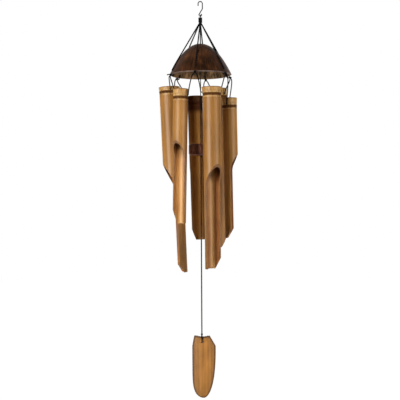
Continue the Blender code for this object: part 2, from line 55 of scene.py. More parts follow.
# Sizes in metres, the same as the frame's
GAP = 0.0003
CORD = 0.0015
SEAT = GAP + CORD / 2
PASS = CORD / 2 + 0.0006
KNOT = 0.0024
WIRE = 0.0020
BEND, EYE, REACH, TIP, SIDE = 0.0041, 0.0025, 0.0215, 0.0042, 0.0100
BEND_Z = WIRE / 2 - BEND
EYE_Z = BEND_Z - REACH
EYE_FLOOR = EYE_Z - EYE
BUNDLE = CORD + GAP
THREAD, PITCH, TURNS = 0.0007, 0.00115, 8
WHIP_RADIUS = BUNDLE + SEAT + THREAD / 2
WHIP_TOP = EYE_FLOOR - WIRE / 2 - 0.0014
WHIP_END = WHIP_TOP - TURNS * PITCH - THREAD
WHIP_MIDDLE = (WHIP_TOP + WHIP_END) / 2
APEX = WHIP_END - 0.0409
SHELL_R, SHELL_H, SHELL_POWER, SHELL_WALL = 0.0593, 0.0591, 2.1, 0.0040
RIM_Z = APEX - SHELL_H
RIM_MARGIN = 0.0064
FIRST_KNOT = math.radians(20)
STEP = math.radians(60)
APEX_KNOT = APEX - SHELL_WALL - GAP - KNOT
CLAPPER_Z = APEX - 0.2030
CLAPPER_R, CLAPPER_H, CLAPPER_ROUND = 0.0235, 0.0205, 0.0030
CLAPPER_KNOT = CLAPPER_Z - CLAPPER_H / 2 - GAP - KNOT
SAIL_KNOT = CLAPPER_KNOT - 0.3420
SAIL_NOTCH = 0.0018
SAIL_TOP = SAIL_KNOT - KNOT - 2 * GAP - CORD + SAIL_NOTCH
SAIL_LENGTH, SAIL_SHOULDER, SAIL_HOLE = 0.1183, 0.0198, 0.0120
SAIL_LEFT, SAIL_RIGHT, SAIL_TIP = 0.0186, 0.0265, 0.0031
SAIL_TOP_LEFT, SAIL_TOP_RIGHT = 0.0150, 0.0155
SAIL_BOW, SAIL_WALL = 0.0400, 0.0045
HOLE_ABOVE_NODE, HOLE_BEND = 0.0045, 0.0016
LEG_OUT, LEG_ALONG, LEG_DOWN, LEG_START = 0.35, 0.62, 0.70, 0.0020
SEPTUM, BORE_TOP, TAPER = 0.0030, 0.0042, 0.03
SCOOP_SLOPE, SCOOP_CURVE = math.tan(math.radians(63)), 0.030

# How thick cords are drawn: fine, as most are, bold, and the neck over the sail
FINE, PLAIN, BOLD, NECK = 1.10 * CORD, 1.35 * CORD, 1.62 * CORD, 1.90 * CORD
# Which rim knot keeps a long tail
LONG_TAILED = 3
# Points nearer than this become one, and edges sharper than this stay sharp
WELD, SHARP = 0.000008, math.radians(38)


class Culm(NamedTuple):
    """One tube: lengths in metres down from the shell's rim or the tube's top, angles in degrees. Tone and
    flesh are how pale its skin and its inside are.
    After them come painted light and shade: how much the tone rises from the top to the tip, where a low top
    tone is painted shade from the neighbouring tubes; how much more pale the inside is beside the cut,
    painted light above nought and painted shade below nought; and the angle and strength of a painted
    highlight streak inside. Smoke is how far down its top is darkened."""

    place: str
    drop: float
    diameter: float
    wall: float
    flare: float
    length: float
    node: float
    scoop: float
    floor: float
    facing: float
    slant: float
    slant_turn: float
    tip: float
    inset: float
    splay: float
    side: float
    lean_out: float
    lean_side: float
    tone: float
    flesh: float
    # painted shade: a low tone at the top stands for shade from the neighbouring tubes, and this lifts it
    # evenly to the tip
    fade: float = 0.0
    # painted light and shade: how much more pale the inside is beside the cut, painted light above nought and
    # painted shade below it
    wall_light_and_shade: float = 0.0
    # painted highlight: angle of a pale streak inside, from the scoop's direction
    highlight_angle: float = 180.0
    # painted highlight: how much more pale that streak is
    highlight_gain: float = 0.2
    smoke: float = 0.0


# A tube's finishes, in the order of its materials
SKIN, BORE, CUT = range(3)

CULMS = (
    # painted shade: the low top tone stands for the shade between the tubes beside it, lifted to a plain tone
    # at the tip
    Culm(
        "back_right", 0.0211, 0.0290, 0.0026, 0.0006, 0.3120, 0.0170, 0.128, 0.0000,
        0, 63, 0, 0.0045, 0.0035, 0.0014, 0, 0.5, 0, 0.14, 0.40, fade=0.32,
    ),
    # painted shade: the low top tone stands partly for the shade cast by the tubes in front, lifted towards
    # the tip
    Culm(
        "back", 0.0346, 0.0300, 0.0026, 0.0006, 0.2840, 0.0150, 0.116, -0.0010,
        -5, 67, 70, 0.0196, 0.0040, 0.0019, -0.0094, 0, -1.5, 0.33, 0.40, fade=0.20, smoke=0.036,
    ),
    Culm(
        "left", 0.0222, 0.0390, 0.0034, 0.0010, 0.3575, 0.0105, 0.147, -0.0027,
        18, 61, 0, 0.0090, 0.0060, 0.0029, 0, -2.4, 0, 0.53, 0.32,
    ),
    Culm(
        "front_left", 0.0329, 0.0280, 0.0024, 0.0005, 0.2510, 0.0168, 0.097, 0.0014,
        3, 68, -33, 0.0123, 0.0035, 0.0024, 0, 1.8, 0, 0.53, 0.53,
        # painted light beside the cut and a painted highlight streak inside
        wall_light_and_shade=0.38, highlight_angle=206, highlight_gain=0.30,
    ),
    Culm(
        "front_right", 0.0309, 0.0340, 0.0029, 0.0020, 0.3380, 0.0138, 0.143, 0.0000,
        16, 61, 46, 0.0175, 0.0050, 0.0029, 0, 0, 0.5, 0.50, 0.47,
        # painted shade beside the cut and a painted highlight streak inside
        wall_light_and_shade=-0.30, highlight_angle=150, highlight_gain=0.66,
    ),
    Culm(
        "right", 0.0464, 0.0280, 0.0025, 0.0006, 0.2670, 0.0166, 0.106, 0.0010,
        0, 60, 0, 0.0045, 0.0030, 0.0004, 0, 1.0, 0, 0.64, 0.45,
    ),
)


class ChimeSizes(bpy.types.PropertyGroup):
    """How finely and how roughly the pieces are made."""

    around: IntProperty(name="Facets", description="Facets round a tube", default=72, min=24)
    cord_step: FloatProperty(
        name="Cord step", description="Length of one facet along a cord",
        default=0.0006, min=0.0002, unit="LENGTH",
    )
    strands: IntProperty(name="Strands", description="Strands twisted into the cord", default=3, min=2)
    lay: FloatProperty(
        name="Lay", description="Length of cord in which a strand goes round once",
        default=0.0060, min=0.001, unit="LENGTH",
    )
    out_of_round: FloatProperty(
        name="Out of round", description="How far a culm's section departs from a circle, as a share",
        default=0.008, min=0.0, subtype="FACTOR",
    )
    tail: FloatProperty(
        name="Knot tail", description="Loose end left on the long-tailed rim knot",
        default=0.0070, min=0.0, unit="LENGTH",
    )


def tint(name, words, value):
    """A colour property, linear red, green and blue."""
    return FloatVectorProperty(name=name, description=words, default=value, subtype="COLOR", min=0, max=1)


class ChimeColours(bpy.types.PropertyGroup):
    """Colours of the finishes."""

    skin_pale: tint("Skin, pale", "Palest streaks of the smoked bamboo", (0.505, 0.238, 0.058))
    band: tint("Top band", "Rubbed skin above the node", (0.65, 0.375, 0.120))
    skin: tint("Skin", "Main colour of the smoked bamboo", (0.342, 0.147, 0.026))
    skin_dark: tint("Skin, dark", "Dark streaks and smoke marks", (0.145, 0.066, 0.019))
    # also used for the painted shade in the hollow under the scoop
    burnt_and_shade: tint("Burnt", "Burnt edges and smoked tops", (0.058, 0.019, 0.008))
    ring: tint("Node ring", "Groove and scar of the node", (0.118, 0.046, 0.012))
    bore_pale: tint("Inside, pale", "Pale inside of the culm", (0.76, 0.435, 0.155))
    bore: tint("Inside", "Reddish inside of the culm", (0.38, 0.145, 0.040))
    cut: tint("Cut edge", "Sawn and carved faces", (0.21, 0.090, 0.026))
    husk: tint("Shell", "Polished outside of the shell", (0.056, 0.0195, 0.006))
    husk_pale: tint("Shell, pale", "Fibres showing in the shell", (0.17, 0.062, 0.022))
    rim: tint("Shell rim", "Sawn edge of the shell", (0.30, 0.20, 0.155))
    lining: tint("Shell inside", "Scraped inside of the shell", (0.22, 0.132, 0.062))
    cord: tint("Cord", "Black waxed cord", (0.014, 0.014, 0.015))
    line: tint("Line", "Worn cord of the clapper and the sail", (0.055, 0.046, 0.034))
    # painted reflection: kept dark so that the metal looks as if it reflected dark surroundings
    wire: tint("Wire", "Bright plated wire", (0.17, 0.17, 0.17))
    clapper: tint("Clapper", "Dark stained wood", (0.185, 0.068, 0.036))
    clapper_pale: tint("Clapper, pale", "Grain of the dark wood", (0.36, 0.15, 0.085))
    sail: tint("Sail", "Outside of the split bamboo", (0.395, 0.172, 0.042))
    sail_edge: tint("Sail edge", "Burnished edge of the sail", (0.10, 0.044, 0.014))


class Patch(NamedTuple):
    """A grid of points, its chart in metres (across, along) and the index of its finish."""

    points: np.ndarray
    chart: np.ndarray
    look: int = 0


def chart_of(across, along):
    """A chart from two arrays that spread to one grid."""
    return np.stack(np.broadcast_arrays(across, along), axis=-1)


def weave(patches):
    """Points, quads, corner charts and finish indices of patches joined into one list."""
    points, quads, charts, looks, base = [], [], [], [], 0
    for patch in patches:
        rows, columns = patch.points.shape[:2]
        index = base + np.arange(rows * columns).reshape(rows, columns)
        corners = (index[:-1, :-1], index[1:, :-1], index[1:, 1:], index[:-1, 1:])
        quads.append(np.stack(corners, axis=-1).reshape(-1, 4))
        points.append(patch.points.reshape(-1, 3))
        charts.append(patch.chart.reshape(-1, 2))
        looks.append(np.full(len(quads[-1]), patch.look))
        base += rows * columns
    quads = np.concatenate(quads)
    return np.concatenate(points), quads, np.concatenate(charts)[quads.ravel()], np.concatenate(looks)


def solid(name, patches, looks, marks=None):
    """An object from patches whose shared edges are welded and whose faces point outwards.
    Marks are values kept on the points for the finish to read, one number or one for each point."""
    points, quads, charts, finish = weave(patches)
    mesh = bpy.data.meshes.new(name)
    mesh.from_pydata(points.tolist(), [], quads.tolist())
    mesh.uv_layers.new(name="chart").data.foreach_set("uv", charts.astype(np.float32).ravel())
    mesh.polygons.foreach_set("material_index", finish.astype(np.int32))
    for mark, value in (marks or {}).items():
        held = mesh.attributes.new(mark, "FLOAT", "POINT")
        held.data.foreach_set("value", np.broadcast_to(value, len(points)).astype(np.float32))
    bm = bmesh.new()
    bm.from_mesh(mesh)
    bmesh.ops.remove_doubles(bm, verts=bm.verts, dist=WELD)
    bmesh.ops.recalc_face_normals(bm, faces=bm.faces)
    bm.to_mesh(mesh)
    bm.free()
    for look in looks:
        mesh.materials.append(look)
    mesh.shade_smooth()
    mesh.set_sharp_from_angle(angle=SHARP)
    made = bpy.data.objects.new(name, mesh)
    bpy.context.collection.objects.link(made)
    return made


def drill(piece, bars, radius):
    """Takes straight round holes out of a piece. A bar is its two ends."""
    bm = bmesh.new()
    for start, end in bars:
        along = Vector(end) - Vector(start)
        turn = along.to_track_quat("Z", "Y").to_matrix().to_4x4()
        seat = Matrix.Translation((Vector(start) + Vector(end)) / 2) @ turn
        bmesh.ops.create_cone(
            bm, cap_ends=True, segments=20, radius1=radius, radius2=radius, depth=along.length, matrix=seat
        )
    mesh = bpy.data.meshes.new("bit")
    bm.to_mesh(mesh)
    bm.free()
    bit = bpy.data.objects.new("bit", mesh)
    bpy.context.collection.objects.link(bit)
    cut = piece.modifiers.new("holes", "BOOLEAN")
    cut.operation, cut.solver, cut.object = "DIFFERENCE", "EXACT", bit
    drilled = piece.evaluated_get(bpy.context.evaluated_depsgraph_get())
    whole = piece.data
    piece.data = bpy.data.meshes.new_from_object(drilled)
    piece.modifiers.clear()
    piece.data.name = whole.name
    bpy.data.meshes.remove(whole)
    bpy.data.objects.remove(bit)
    bpy.data.meshes.remove(mesh)


def settle(piece, body, slot, *nodes):
    """Puts a piece on its body in place of CAD nodes."""
    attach(piece, body)
    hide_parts(*nodes)
    return piece


def lengths(path):
    """Distance along a path at each of its points."""
    return np.concatenate(([0.0], np.cumsum(np.linalg.norm(np.diff(path, axis=0), axis=1))))


def evened(path, step):
    """The same path with points a step apart."""
    path = np.asarray(path, float)
    run = lengths(path)
    at = np.linspace(0, run[-1], max(3, int(math.ceil(run[-1] / step)) + 1))
    return np.column_stack([np.interp(at, run, path[:, k]) for k in range(path.shape[1])])


def eased(path, rounds=2):
    """The path with its corners cut at a quarter and three quarters of each length, over and over."""
    path = np.asarray(path, float)
    for _ in range(rounds):
        near = 0.75 * path[:-1] + 0.25 * path[1:]
        far = 0.25 * path[:-1] + 0.75 * path[1:]
        inner = np.stack((near, far), axis=1).reshape(-1, path.shape[1])
        path = np.concatenate((path[:1], inner, path[-1:]))
    return path


def rounded(points, radius, steps=6):
    """A line whose corners are parabolas that touch both sides, about the radius given."""
    line = [np.asarray(point, float) for point in points]
    share = np.linspace(0, 1, steps)[:, None]
    made = [line[0][None]]
    for before, corner, after in zip(line, line[1:], line[2:]):
        back, ahead = before - corner, after - corner
        near, far = np.linalg.norm(back), np.linalg.norm(ahead)
        bend = (math.pi - math.acos(np.clip(back @ ahead / (near * far), -1, 1))) / 2
        reach = min(0.48 * near, 0.48 * far, radius * math.tan(bend))
        start, end = corner + back / near * reach, corner + ahead / far * reach
        made.append((1 - share) ** 2 * start + 2 * share * (1 - share) * corner + share**2 * end)
    made.append(line[-1][None])
    return np.concatenate(made)


def unit(vectors):
    """Vectors of length one."""
    return vectors / np.linalg.norm(vectors, axis=-1, keepdims=True)


def carried(path, radius, side, sides, strands=0, lay=1.0):
    """A circle carried along a path, square to it, with its first point towards the side vector.
    With strands, the radius dips between them, and they turn round the path once in a lay length."""
    path = np.asarray(path, float)
    run = lengths(path)
    angle = np.linspace(0, 2 * math.pi, sides + 1)
    along = unit(np.gradient(path, axis=0))
    side = np.broadcast_to(side, path.shape)
    first = unit(side - np.sum(side * along, axis=1, keepdims=True) * along)
    second = np.cross(along, first)
    size = np.full((len(path), sides + 1), radius)
    if strands:
        phase = strands / 2 * (angle[None] - 2 * math.pi * run[:, None] / lay)
        size = radius * (0.90 + 0.14 * np.abs(np.cos(phase)) ** 0.7)
    ring = np.cos(angle)[None, :, None] * first[:, None] + np.sin(angle)[None, :, None] * second[:, None]
    points = path[:, None] + size[..., None] * ring
    caps = [np.repeat(path[end][None, None], sides + 1, axis=1) for end in (0, -1)]
    points = np.concatenate((caps[0], points, caps[1]))
    run = np.concatenate((run[:1], run, run[-1:]))
    return Patch(points, chart_of(angle[None] * radius, run[:, None]))


def bearing(angle, radius, z):
    """A point at an angle about the chime's axis."""
    return np.array((radius * math.cos(angle), radius * math.sin(angle), z))


def ring(radius, angle, z):
    """Points at a radius, an angle and a height."""
    return np.stack(np.broadcast_arrays(radius * np.cos(angle), radius * np.sin(angle), z), axis=-1)


def station(index):
    """Angle of a rim knot about the chime's axis. Tubes hang at the halves between knots."""
    return FIRST_KNOT + index * STEP


def bell(off, width):
    """A bell curve: one at nought, and exp(-1) at a width away."""
    return np.exp(-((off / width) ** 2))


def shell_face(radius, lift=0.0):
    """(radius, z) on the shell's outer face, moved out by a lift. Depth grows as a power of the radius."""
    radius = np.asarray(radius, float)
    share = radius / SHELL_R
    slope = SHELL_POWER * SHELL_H / SHELL_R * share ** (SHELL_POWER - 1)
    steep = np.hypot(slope, 1)
    depth = SHELL_H * share**SHELL_POWER
    return np.stack((radius + lift * slope / steep, APEX - depth + lift / steep), axis=-1)


RIM_EDGE = shell_face(SHELL_R)
RIM_OUT = shell_face(SHELL_R, 1.0) - RIM_EDGE
RIM_DOWN = np.array((RIM_OUT[1], -RIM_OUT[0]))
RIM_HOLE = RIM_EDGE - RIM_DOWN * RIM_MARGIN


def wall_point(down, out):
    """(radius, z) at a distance down the wall from a rim hole and out from the outer face."""
    return RIM_HOLE + down * RIM_DOWN + out * RIM_OUT


KNOT_DOWN = RIM_MARGIN + GAP + KNOT
KNOT_RING, KNOT_Z = wall_point(KNOT_DOWN, 0)
CHORD = KNOT_RING * math.cos(STEP / 2)


def canopy_route(angle):
    """A canopy cord: straight from the whipping to where it touches the shell, down the shell, in through
    a rim hole and out to its knot under the cut edge."""
    start = np.array((BUNDLE, WHIP_MIDDLE - GAP))
    leave = np.array((BUNDLE, WHIP_END - CORD))
    lying = shell_face(np.linspace(0.3, 0.98, 60) * RIM_HOLE[0], SEAT)
    touch = int(((lying[:, 0] - leave[0]) / (leave[1] - lying[:, 1])).argmax())
    inside = -SHELL_WALL - SEAT
    tied = [lying[-1], wall_point(0, SEAT), wall_point(0, inside), wall_point(KNOT_DOWN, inside)]
    tied.append(wall_point(KNOT_DOWN, -0.5 * KNOT))
    hanging = rounded([start, leave, lying[touch]], 2 * CORD)[:-1]
    route = np.concatenate((hanging, lying[touch:-1], rounded(tied, 0.8 * CORD)))
    return np.column_stack((route[:, 0] * math.cos(angle), route[:, 0] * math.sin(angle), route[:, 1]))


def spin(axis, degrees):
    """A turn about X, Y or Z."""
    return np.array(Matrix.Rotation(math.radians(degrees), 3, axis))


def hole_frame(index):
    """Place and turn of a tube's holes: x outwards, y along the line through the holes."""
    culm = CULMS[index]
    angle = station(index + 0.5)
    z = RIM_Z - culm.drop - culm.node + HOLE_ABOVE_NODE
    turn = spin("Z", math.degrees(angle)) @ spin("X", culm.lean_side)
    return bearing(angle, CHORD + culm.splay, z) + bearing(angle + math.pi / 2, culm.side, 0), turn


def leg_route(index, side):
    """One leg of a sling: a cubic from its knot to above the hole, then a quarter turn into the tube."""
    culm = CULMS[index]
    at, turn = hole_frame(index)
    angle = station(index + 0.5 + side / 2)
    knot = bearing(angle, KNOT_RING, KNOT_Z)
    lead = unit(bearing(angle, LEG_OUT, -LEG_DOWN) - side * bearing(angle + math.pi / 2, LEG_ALONG, 0))
    start, leave = knot + lead * 0.4 * KNOT, knot + lead * (KNOT + GAP + LEG_START)
    inward = culm.diameter / 2 + culm.flare + SEAT + GAP - HOLE_BEND
    quarter = np.radians(np.arange(0, 91, 15))
    turned = np.column_stack((0 * quarter, np.cos(quarter), 1 - np.sin(quarter)))
    low = (0, inward, 0) + HOLE_BEND * turned
    low = np.vstack((low, [(0, inward * share, 0) for share in (0.66, 0.33, 0)])) * (1, side, 1)
    low = at + low @ turn.T
    t = np.linspace(0, 1, 16)[:-1, None]
    stride = np.linalg.norm(low[0] - leave)
    drop = (2 * t**3 - 3 * t**2 + 1) * leave + (3 * t**2 - 2 * t**3) * low[0]
    pull = (t**3 - 2 * t**2 + t) * 0.4 * lead + (t**3 - t**2) * 0.6 * (turn @ (0, 0, -1))
    return np.concatenate((start[None], drop + stride * pull, low))


def sling_route(index):
    """A tube's cord: down from one knot, through the tube and up to the next knot."""
    return np.concatenate((leg_route(index, -1)[:-1], leg_route(index, 1)[::-1]))


def hook_route():
    """The hook's wire: a straight tip, half a circle, a straight side, a slant and most of a small circle."""
    upper = np.radians(np.arange(180, -1, -5))
    lower = np.radians(np.arange(150, 406, 5))
    bend = np.column_stack((BEND * np.cos(upper), 0 * upper, BEND_Z + BEND * np.sin(upper)))
    eye = np.column_stack((EYE * np.cos(lower), 0 * lower, EYE_Z + EYE * np.sin(lower)))
    tip = np.array([(-BEND, 0, BEND_Z - TIP)])
    shank = rounded([bend[-1], (BEND, 0, BEND_Z - SIDE), eye[0]], BEND, 12)[1:-1]
    return eased(np.concatenate((tip, bend, shank, eye)), 2)


def loop_route():
    """The hanging loop: two legs out of the whipping and a half circle over the hook's wire."""
    radius = WIRE / 2 + SEAT
    over = np.radians(np.arange(0, 181, 12))
    arch = np.column_stack((0 * over, radius * np.cos(over), EYE_FLOOR + radius * np.sin(over)))
    leg = np.array([(0, BUNDLE, WHIP_MIDDLE), (0, BUNDLE, WHIP_TOP)])
    return eased(np.concatenate((leg, arch, leg[::-1] * (1, -1, 1))), 2)


def whipping_route():
    """A helix round the gathered cords, with a straight end at each side."""
    turns = np.linspace(0, TURNS, TURNS * 48 + 1)
    around = 2 * math.pi * turns
    height = WHIP_TOP - THREAD / 2 - PITCH * turns
    coil = np.column_stack((WHIP_RADIUS * np.cos(around), WHIP_RADIUS * np.sin(around), height))
    return np.vstack((coil[0] + (0, -THREAD, 0), coil, coil[-1] + (0, THREAD, 0)))


def knot_patch(at, turn, size, thread):
    """An overhand knot: the curve sin t + 2 sin 2t, cos t - 2 cos 2t, -sin 3t, as a closed cord."""
    t = np.linspace(0, 2 * math.pi, 121)
    once, twice, thrice = (np.column_stack((np.sin(k * t), np.cos(k * t), np.sin(k * t))) for k in (1, 2, 3))
    once, twice, thrice = once * (1, 1, 0), twice * (2, -2, 0), thrice * (0, 0, -1.1)
    path = at + ((once + twice + thrice) * (size - thread / 2) / 3) @ turn.T
    inward = -(once + 4 * twice + 9 * thrice)
    return carried(path, thread / 2, inward @ turn.T, 12)


def facing(out):
    """A turn whose z axis is the direction given and whose x axis is level."""
    out = unit(np.asarray(out, float))
    across = unit(np.cross((0, 0, 1), out))
    return np.column_stack((across, np.cross(out, across), out))


def add_node(tree, kind, inputs=None, **values):
    """A node with its settings, and with numbers or sockets on its inputs."""
    made = tree.nodes.new(kind)
    for key, value in values.items():
        setattr(made, key, value)
    for key, value in (inputs or {}).items():
        if isinstance(value, bpy.types.NodeSocket):
            tree.links.new(value, made.inputs[key])
        else:
            made.inputs[key].default_value = value
    return made


def seen_rays(tree):
    """One for rays from the camera, from reflections and through clear material, and nought for light."""
    rays = add_node(tree, "ShaderNodeLightPath").outputs
    seen = rays["Is Camera Ray"]
    for kind in ("Is Glossy Ray", "Is Transmission Ray"):
        seen = add_node(tree, "ShaderNodeMath", {0: seen, 1: rays[kind]}, operation="MAXIMUM").outputs[0]
    return seen


def shades(colour, *factors):
    """A colour times each of the factors, held at one."""
    return [[min(1, factor * part) for part in colour] for factor in factors]


class Finish:
    """A procedural material put together from its parts."""

    def __init__(self, name, roughness=0.5, metallic=0.0, specular=0.5):
        self.made = bpy.data.materials.new(name)
        self.made.use_nodes = True
        self.tree = self.made.node_tree
        self.shader = self.tree.nodes["Principled BSDF"]
        levels = {"Roughness": roughness, "Metallic": metallic, "Specular IOR Level": specular}
        for name, level in levels.items():
            self.shader.inputs[name].default_value = level

    @cached_property
    def chart(self):
        """The piece's own chart, in metres across and along."""
        return self.node("ShaderNodeUVMap", uv_map="chart").outputs["UV"]

    @cached_property
    def place(self):
        """Object coordinates, in metres."""
        return self.node("ShaderNodeTexCoord").outputs["Object"]

    def node(self, kind, inputs=None, **values):
        """A node of this material."""
        return add_node(self.tree, kind, inputs, **values)

    def feed(self, name, value):
        """Links a value to an input of the shader."""
        self.tree.links.new(value, self.shader.inputs[name])

    def mark(self, name):
        """A value kept on the points."""
        return self.node("ShaderNodeAttribute", attribute_name=name).outputs["Fac"]

    def noise(self, scale, detail=4.0, roughness=0.55, twist=0.0, shift=0.0):
        """Noise stretched by a scale for each axis and moved by a shift. Two scales lay it on the chart,
        three on object coordinates."""
        at = self.chart if len(scale) == 2 else self.place
        inputs = {"Vector": at, "Scale": (*scale, 1)[:3], "Location": (shift,) * 3}
        spread = self.node("ShaderNodeMapping", inputs).outputs[0]
        inputs = {"Vector": spread, "Scale": 1.0, "Detail": detail, "Roughness": roughness}
        return self.node("ShaderNodeTexNoise", {**inputs, "Distortion": twist}).outputs["Fac"]

    def ramp(self, value, *stops):
        """Colours at places along a value."""
        made = self.node("ShaderNodeValToRGB", {"Fac": value})
        band = made.color_ramp.elements
        while len(band) < len(stops):
            band.new(0.5)
        for element, (where, colour) in zip(band, stops):
            element.position = where
            element.color = (*colour, 1.0)
        return made.outputs["Color"]

    def reach(self, value, low, high, start=0.0, end=1.0):
        """A value spread from low..high to start..end, and held there."""
        inputs = {"Value": value, "From Min": low, "From Max": high, "To Min": start, "To Max": end}
        return self.node("ShaderNodeMapRange", inputs, clamp=True).outputs["Result"]

    def step(self, kind, first, second=0.0):
        """One arithmetic step."""
        return self.node("ShaderNodeMath", {0: first, 1: second}, operation=kind).outputs[0]

    def total(self, base, *parts):
        """A number plus values, each times its weight."""
        for value, weight in parts:
            inputs = {0: value, 1: weight, 2: base}
            base = self.node("ShaderNodeMath", inputs, operation="MULTIPLY_ADD").outputs[0]
        return base

    def over(self, share, ground, colour):
        """A colour laid over a ground by a share."""
        inputs = {0: share, 6: ground, 7: (*colour, 1.0)}
        return self.node("ShaderNodeMix", inputs, data_type="RGBA").outputs[2]

    def rough(self, value, low, high):
        """Sets the roughness from a value."""
        self.feed("Roughness", self.reach(value, 0.3, 0.7, low, high))

    def bump(self, height, depth, strength):
        """Sets small relief of a depth in metres."""
        inputs = {"Height": height, "Distance": depth, "Strength": strength}
        self.feed("Normal", self.node("ShaderNodeBump", inputs).outputs[0])

    def grained(self, grain, patch, share, stops, relief, gloss=None):
        """The whole look from two noises: the colour runs over the stops by a share of the grain and the rest
        of the patch, and the grain gives the relief and any change of gloss."""
        fine = self.noise(*grain)
        value = self.total(0.0, (fine, share), (self.noise(*patch), 1 - share))
        self.feed("Base Color", self.ramp(value, *stops))
        if gloss:
            self.rough(fine, *gloss)
        self.bump(fine, *relief)
        return self.made


def skin_finish(colours):
    """Smoked bamboo: fine fibres and broad streaks along the culm, a dark scar and painted highlights on the
    ridges at the node, a rubbed top, specks, smoke and a top edge singed dark. The marks give how pale it is,
    with painted shade in it on the back tubes, how smoked it is, and the distance from the top."""
    made = Finish("bamboo_skin", 0.30)
    along = made.node("ShaderNodeSeparateXYZ", {"Vector": made.chart}).outputs["Y"]
    tone, from_top, smoked = (made.mark(name) for name in ("tone", "below_top", "smoke"))
    fibre = made.noise((2400, 30), 3)
    streak = made.noise((300, 6), 4, 0.6)
    cloud = made.noise((22, 22, 9), 4, 0.6)
    line = made.reach(made.noise((750, 3), 2), 0.57, 0.70, 0.0, 0.13)
    value = made.total(-0.40, (streak, 0.55), (cloud, 0.45), (fibre, 0.30), (line, 1.0), (tone, 0.50))
    dark = colours.skin_dark
    skin = made.ramp(value, (0.28, dark), (0.48, colours.skin), (0.68, colours.skin_pale))
    rub = made.reach(made.noise((260, 260, 120), 3), 0.35, 0.65, 0.15, 0.85)
    skin = made.over(made.step("MULTIPLY", made.reach(along, 0.0016, 0.0040), rub), skin, colours.band)

    from_ring = made.step("ABSOLUTE", along)
    skin = made.over(made.reach(from_ring, 0.001, 0.010, 0.30, 0.0), skin, dark)
    # painted highlight: a pale band on the ridges from 2 to 6 mm either side of the node
    rise = made.reach(from_ring, 0.0022, 0.0034)
    fall = made.reach(from_ring, 0.0044, 0.0064, 0.6, 0.0)
    skin = made.over(made.step("MULTIPLY", rise, fall), skin, colours.band)
    wander = made.step("MULTIPLY", made.noise((300, 300), 2), 0.0010)
    scar = made.reach(made.step("SUBTRACT", from_ring, wander), 0.0011, 0.0032, 0.95, 0.0)
    skin = made.over(scar, skin, colours.ring)
    speck = made.reach(made.noise((380, 380, 240), 2), 0.56, 0.63)
    near = made.reach(from_ring, 0.002, 0.012, 0.75, 0.0)
    skin = made.over(made.step("MULTIPLY", speck, near), skin, colours.burnt_and_shade)

    # darker from 0.24 to 0.31 m below the top, and held so down to the tip
    skin = made.over(made.reach(from_top, 0.24, 0.31, 0.0, 0.62), skin, dark)
    skin = made.over(smoked, skin, colours.burnt_and_shade)
    singed = made.reach(made.step("ADD", from_top, wander), 0.0006, 0.0026, 0.9, 0.0)
    made.feed("Base Color", made.over(singed, skin, colours.burnt_and_shade))
    dull = made.step("MAXIMUM", made.step("MAXIMUM", scar, singed), smoked)
    shine = made.reach(tone, 0.20, 0.48, 0.03, 0.10)
    made.feed("Specular IOR Level", made.step("MULTIPLY", shine, made.reach(dull, 0.0, 1.0, 1.0, 0.1)))
    made.rough(streak, 0.40, 0.50)
    made.bump(made.total(0.0, (fibre, 1.0), (streak, 0.6)), 0.00016, 0.5)
    return made.made


def bore_finish(colours):
    """The culm's inside: coarse fibres along it, pale or reddish by its mark, which holds painted light and
    shade, and painted shade, dark and dull, in the hollow under the scoop.
    """
    made = Finish("bamboo_bore", 0.36)
    fibre = made.noise((1500, 24))
    streak = made.noise((420, 5), 3)
    cloud = made.noise((40, 40, 14), 4, 0.6)
    value = made.total(-0.475, (streak, 0.6), (cloud, 0.4), (fibre, 0.35), (made.mark("flesh"), 0.60))
    (dim,) = shades(colours.bore, 0.45)
    ground = made.ramp(value, (0.24, dim), (0.44, colours.bore), (0.72, colours.bore_pale))
    # painted shade: dark singed colour fading down from the scoop's top into the hollow below it, and duller
    # there
    under = made.reach(made.mark("below_scoop"), 0.004, 0.034, 0.88, 0.0)
    made.feed("Base Color", made.over(under, ground, colours.burnt_and_shade))
    made.feed("Specular IOR Level", made.reach(under, 0.0, 0.6, 0.06, 0.02))
    made.rough(streak, 0.30, 0.46)
    made.bump(fibre, 0.00015, 0.5)
    return made.made


def cut_finish(colours):
    """Sawn bamboo, browned by the flame: a dull ground with the dark ends of the fibre bundles."""
    made = Finish("bamboo_cut", 0.62, specular=0.2)
    dots = made.node("ShaderNodeTexVoronoi", {"Vector": made.place, "Scale": 1500.0}).outputs["Distance"]
    value = made.total(0.0, (dots, 0.35), (made.noise((1800, 60)), 0.65))
    (pale,) = shades(colours.cut, 1.9)
    made.feed("Base Color", made.ramp(value, (0.28, colours.burnt_and_shade), (0.50, colours.cut), (0.74, pale)))
    made.bump(value, 0.0002, 0.6)
    return made.made


def husk_finish(colours):
    """Polished coconut shell: dark, with pale broken fibres running from the top to the rim."""
    made = Finish("coconut_outside", 0.36, specular=0.04)
    (dim,) = shades(colours.husk, 0.30)
    stops = (0.40, dim), (0.52, colours.husk), (0.67, colours.husk_pale)
    fibre, patch = ((900, 45), 4, 0.65, 0.6), ((42, 42, 30), 4, 0.6, 0.0, 7.0)
    return made.grained(fibre, patch, 0.48, stops, (0.00025, 0.6), (0.26, 0.48))


def lining_finish(colours):
    """The shell's scraped inside: dull brown with rubbed fibres."""
    made = Finish("coconut_inside", 0.75, specular=0.05)
    dim, pale = shades(colours.lining, 0.22, 2.4)
    stops = (0.40, dim), (0.50, colours.lining), (0.62, pale)
    return made.grained(((480, 60), 5, 0.65, 1.0), ((70, 70, 70), 4, 0.6), 0.5, stops, (0.0005, 0.8))


def rim_finish(colours):
    """The shell's sawn edge: pale, with pores."""
    made = Finish("coconut_edge", 0.6, specular=0.15)
    (dim,) = shades(colours.rim, 0.20)
    stops = (0.42, dim), (0.60, colours.rim)
    return made.grained(((900, 900, 900), 3), ((60, 60, 60), 3), 0.5, stops, (0.0002, 0.5))


